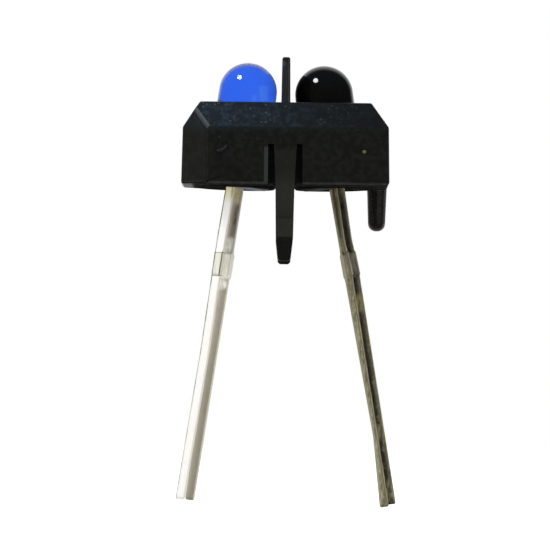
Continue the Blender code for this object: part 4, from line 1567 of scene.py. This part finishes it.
@dataclass
class Studio:
    """A pale floor, a white surround and soft lamps."""

    floor_height: float
    floor_size: float = 3.0
    floor_sides: int = 96
    floor_colour: Colour = (0.8, 0.8, 0.8)
    seen_white: float = 0.45
    dim_floor: float = 0.04
    dim_depth: Range = (-0.01, 0.03)
    ambient: Colour = (0.88, 0.88, 0.88)
    dim: Colour = (0.03, 0.032, 0.026)
    overhead: Colour = (0.035, 0.045, 0.06)
    overhead_rise: Range = (0.1, 0.9)
    back_wall: Range = (0.58, 1.0)
    back_wall_lean: float = 0.3
    lamps: tuple[Lamp, ...] = (
        Lamp("bulb", (-0.48, -0.37, 0.79), 0.5, 0.132, 1.1, (1.0, 0.99, 0.97), 1.455),
        Lamp("right_strip", (0.53, -0.85, -0.055), 0.3, 0.04, 0.17, WHITE, 0.7, LENGTHWAYS),
        Lamp("left_strip", (-0.53, -0.85, -0.055), 0.3, 0.03, 0.035, WHITE, 0.7, LENGTHWAYS),
    )

    def build(self) -> None:
        """Sets up the whole studio."""
        bpy.context.scene.view_settings.view_transform = "Standard"
        self.lay_floor(self.floor_finish())
        self.light_surround()
        for lamp in self.lamps:
            lamp.hang(Vector((0.0, 0.0, 0.0)))
        PhotoCamera().set_up()

    def seen(self, bench: NodeBench, *kinds: str) -> Socket:
        """Tells the rays of some kinds of Light Path, as 1 for such a ray, else 0."""
        path = bench.add("ShaderNodeLightPath").outputs
        return bench.most(*(path[f"Is {kind} Ray"] for kind in kinds))

    def floor_finish(self) -> Material:
        """Builds the floor's material: pale, white where it is seen, dim in gloss and clear from below.

        Returns:
            The finished material.
        """
        material, bench, shader = new_material("pale_floor")
        material.node_tree.nodes.remove(shader)
        paint = bench.add("ShaderNodeBsdfDiffuse", {"Color": self.floor_colour}).outputs[0]
        glow = bench.add("ShaderNodeEmission", {"Strength": self.seen_white}).outputs[0]
        both = bench.add("ShaderNodeAddShader", {0: paint, 1: glow}).outputs[0]
        depth = bench.split(bench.normal("Position"))["Y"]
        image = {"Strength": bench.ramp(depth, *self.dim_depth, self.dim_floor)}
        dimmed = bench.add("ShaderNodeEmission", image).outputs[0]
        clear = bench.add("ShaderNodeBsdfTransparent").outputs[0]
        layers = (
            (self.seen(bench, "Camera", "Transmission"), both),
            (self.seen(bench, "Glossy"), dimmed),
            (bench.times(bench.normal("Backfacing"), self.seen(bench, "Camera")), clear),
        )
        mixed = paint
        for share, layer in layers:
            mixed = bench.add("ShaderNodeMixShader", {0: share, 1: mixed, 2: layer}).outputs[0]
        bench.feed(material.node_tree.nodes["Material Output"], {"Surface": mixed})
        return material

    def lay_floor(self, finish: Material) -> None:
        """Lays the pale floor, which keeps the part's shadow.

        Args:
            finish: The floor's material.
        """
        shape = bmesh.new()
        bmesh.ops.create_circle(shape, cap_ends=True, radius=self.floor_size, segments=self.floor_sides)
        bmesh.ops.translate(shape, vec=(0.0, 0.0, self.floor_height), verts=shape.verts)
        mesh = bpy.data.meshes.new("floor")
        shape.to_mesh(mesh)
        shape.free()
        mesh.materials.append(finish)
        put("floor", mesh)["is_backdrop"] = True

    def light_surround(self) -> None:
        """Makes the white surround: white where it is seen, dim in front and bright above as light."""
        world = bpy.data.worlds.new("surround")
        world.use_nodes = True
        bpy.context.scene.world = world
        bench = NodeBench(world.node_tree)
        parts = bench.split(bench.add("ShaderNodeTexCoord").outputs["Generated"])
        behind = bench.plus(bench.times(bench.most(parts["Z"], 0.0), self.back_wall_lean), parts["Y"])
        room = bench.blend(bench.ramp(parts["Z"], *self.overhead_rise), self.dim, self.overhead)
        room = bench.blend(bench.ramp(behind, *self.back_wall), room, WHITE)
        level = bench.blend(self.seen(bench, "Glossy"), self.ambient, room)
        colour = bench.blend(self.seen(bench, "Camera", "Transmission"), level, WHITE)
        bench.feed(world.node_tree.nodes["Background"], {"Color": colour, "Strength": 1.0})


# The whole sensor


def lead_finishes() -> dict[str, TinPlate]:
    """Chooses a finish for each lead.

    Returns:
        The finishes by the leads' nodes.
    """
    bright = TinPlate(
        "bright_tin",
        upper=(0.97, 0.96, 0.94),
        lower=(0.9, 0.89, 0.86),
        stain=(0.82, 0.78, 0.68),
        flank=(0.8, 0.74, 0.62),
        outline=(0.012, 0.011, 0.008),
        sheared=(0.7, 0.69, 0.545),
        golden=(1.0, 0.9, 0.55),
        turn=-8.8,
        stains=0.1,
        metallic=0.05,
        outlined=1.0,
        outlined_side=Outline.LEFT,
        outlined_low=0.6,
        rim=0.7,
        golden_to=-0.75 * MM,
        side_shade_and_light=(0.22, 0.18, 0.09),
        shaded_gilt=0.95,
        shaded_across=mm(0.04, 0.14),
        dam_lines=0.4,
    )
    grey = TinPlate(
        "grey_tin",
        upper=(0.85, 0.81, 0.71),
        lower=(0.54, 0.54, 0.45),
        stain=(0.25, 0.2, 0.13),
        flank=(0.75, 0.7, 0.58),
        outline=(0.3, 0.27, 0.2),
        # Painted glare on this lead's dam bar.
        sheared=(1.0, 0.98, 0.85),
        golden=(0.88, 0.77, 0.42),
        turn=-8.8,
        stains=0.3,
        metallic=0.25,
        outlined=0.5,
        tone=mm(-11.0, -1.0),
        side_shade_and_light=(0.1, 0.072, 0.035),
        shaded=1.0,
        shaded_low=0.62,
        shaded_gilt=0.1,
        shaded_across=mm(-0.32, 0.05),
        shaded_down=-2.55 * MM,
        fleck=(0.5, 0.45, 0.34),
        flecked=0.2,
        highlight_bands=(mm(-2.9, 0.25), mm(-4.65, 0.2)),
    )
    brown = TinPlate(
        "brown_tin",
        upper=(0.04, 0.028, 0.009),
        lower=(0.34, 0.31, 0.17),
        stain=(0.006, 0.0035, 0.0008),
        flank=(0.2, 0.175, 0.09),
        outline=(0.42, 0.38, 0.3),
        sheared=(0.2, 0.17, 0.125),
        golden=(0.2, 0.17, 0.07),
        turn=6.2,
        stains=0.9,
        outlined_side=Outline.BOTH,
        golden_to=-0.5 * MM,
        tone=mm(-15.5, -5.0),
        side_shade_and_light=(0.34, 0.31, 0.2),
        shaded=0.6,
        shaded_low=0.6,
        shaded_gilt=0.6,
        shaded_across=mm(-0.03, 0.17),
        fleck=(0.32, 0.26, 0.11),
        flecked=0.16,
        bright=(0.3, 0.25, 0.11),
        highlight_share=0.75,
        highlight_bands=(mm(-5.7, 0.25),),
    )
    olive = TinPlate(
        "olive_tin",
        upper=(0.24, 0.22, 0.11),
        lower=(0.6, 0.57, 0.34),
        stain=(0.06, 0.05, 0.018),
        flank=(0.3, 0.28, 0.15),
        outline=(0.45, 0.42, 0.33),
        sheared=(0.45, 0.42, 0.26),
        golden=(0.4, 0.35, 0.17),
        turn=6.2,
        stains=0.5,
        outlined_side=Outline.LEFT,
        golden_to=-0.6 * MM,
        tone=mm(-4.0, -1.0),
        fleck=(0.07, 0.06, 0.025),
        flecked=0.4,
        seam=0.85,
        seam_at=-0.09 * MM,
    )
    return {
        "emitter_cathode_lead": bright,
        "emitter_anode_lead": grey,
        "detector_collector_lead": brown,
        "detector_emitter_lead": olive,
    }


def build_devices(frame: dict[str, Any], effects: Effects, strand: StrandTree, fingers: FingerTree) -> None:
    """Casts the two epoxy bodies, dresses the leads and bonds the chips.

    Args:
        effects: The shared shader groups.
        strand: The tree for the wires.
        fingers: The tree for the chips' fingers.
    """
    emitter_fit = DeviceFit(End.EMITTER, 8.8, -0.03 * MM, 0.61 * MM)
    detector_fit = DeviceFit(End.DETECTOR, 6.2, 0.06 * MM, 0.5 * MM)
    # Painted light patches in the blue dome: a brighter band and a thin streak of reflection.
    gathered_light_patches = (
        Patch(mm(-1.1, 0.0, 4.55), mm(0.12, 3.0, 0.3), 0.16 * MM),
        Patch(mm(-1.55, 0.0, 4.2), mm(0.03, 3.0, 0.15), 0.16 * MM),
    )
    blue = CastEpoxy(
        "blue_epoxy",
        (0.033, 0.145, 0.98),
        (0.04, 0.17, 1.0),
        (0.002, 0.003, 0.01),
        transmission=0.85,
        clear_from=3.4 * MM,
        gathered_light_patches=gathered_light_patches,
        haze=0.35,
    ).material(effects)
    black = CastEpoxy("black_epoxy", (0.002, 0.002, 0.002), (0.003, 0.003, 0.003), (0.002, 0.002, 0.002))
    black = black.material(effects)
    EpoxyBody("emitter_epoxy", Slot.EMITTER_LENS, emitter_fit, blue, "emitter_lens").build()
    EpoxyBody("detector_epoxy", Slot.DETECTOR_LENS, detector_fit, black, "detector_lens").build()

    for node, plate in lead_finishes().items():
        centreline = find_centreline(frame["nodes"][node].data, -1.0 * MM)
        dress(frame, node, plate.material(effects, centreline))

    die = FineFinish("polished_die", (0.12, 0.12, 0.15), (0.08, 0.08, 0.1), 0.18, metallic=0.6)
    die = die.material(effects)
    gold = FineFinish("gold", (0.95, 0.66, 0.25), (0.8, 0.52, 0.18), 0.22, metallic=1.0)
    gold = gold.material(effects)
    Chip(frame, "emitter", emitter_fit, die, gold, strand, fingers, 0.3 * MM, 2.88 * MM, 4).build()
    Chip(frame, "detector", detector_fit, die, gold, strand, fingers, 0.52 * MM, 2.83 * MM, 7).build()


def main() -> None:
    """Loads the frame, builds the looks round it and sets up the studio."""
    logging.basicConfig(level=logging.INFO, format="%(name)s: %(message)s", force=True)
    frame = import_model()
    cad_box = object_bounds()
    effects = Effects()
    strand, flecks, fingers = StrandTree(), FleckTree(), FingerTree()
    Housing(frame, effects, flecks, strand).build()
    build_devices(frame, effects, strand, fingers)
    Studio(cad_box[0][2]).build()

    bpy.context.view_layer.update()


if __name__ == "__main__":
    main()
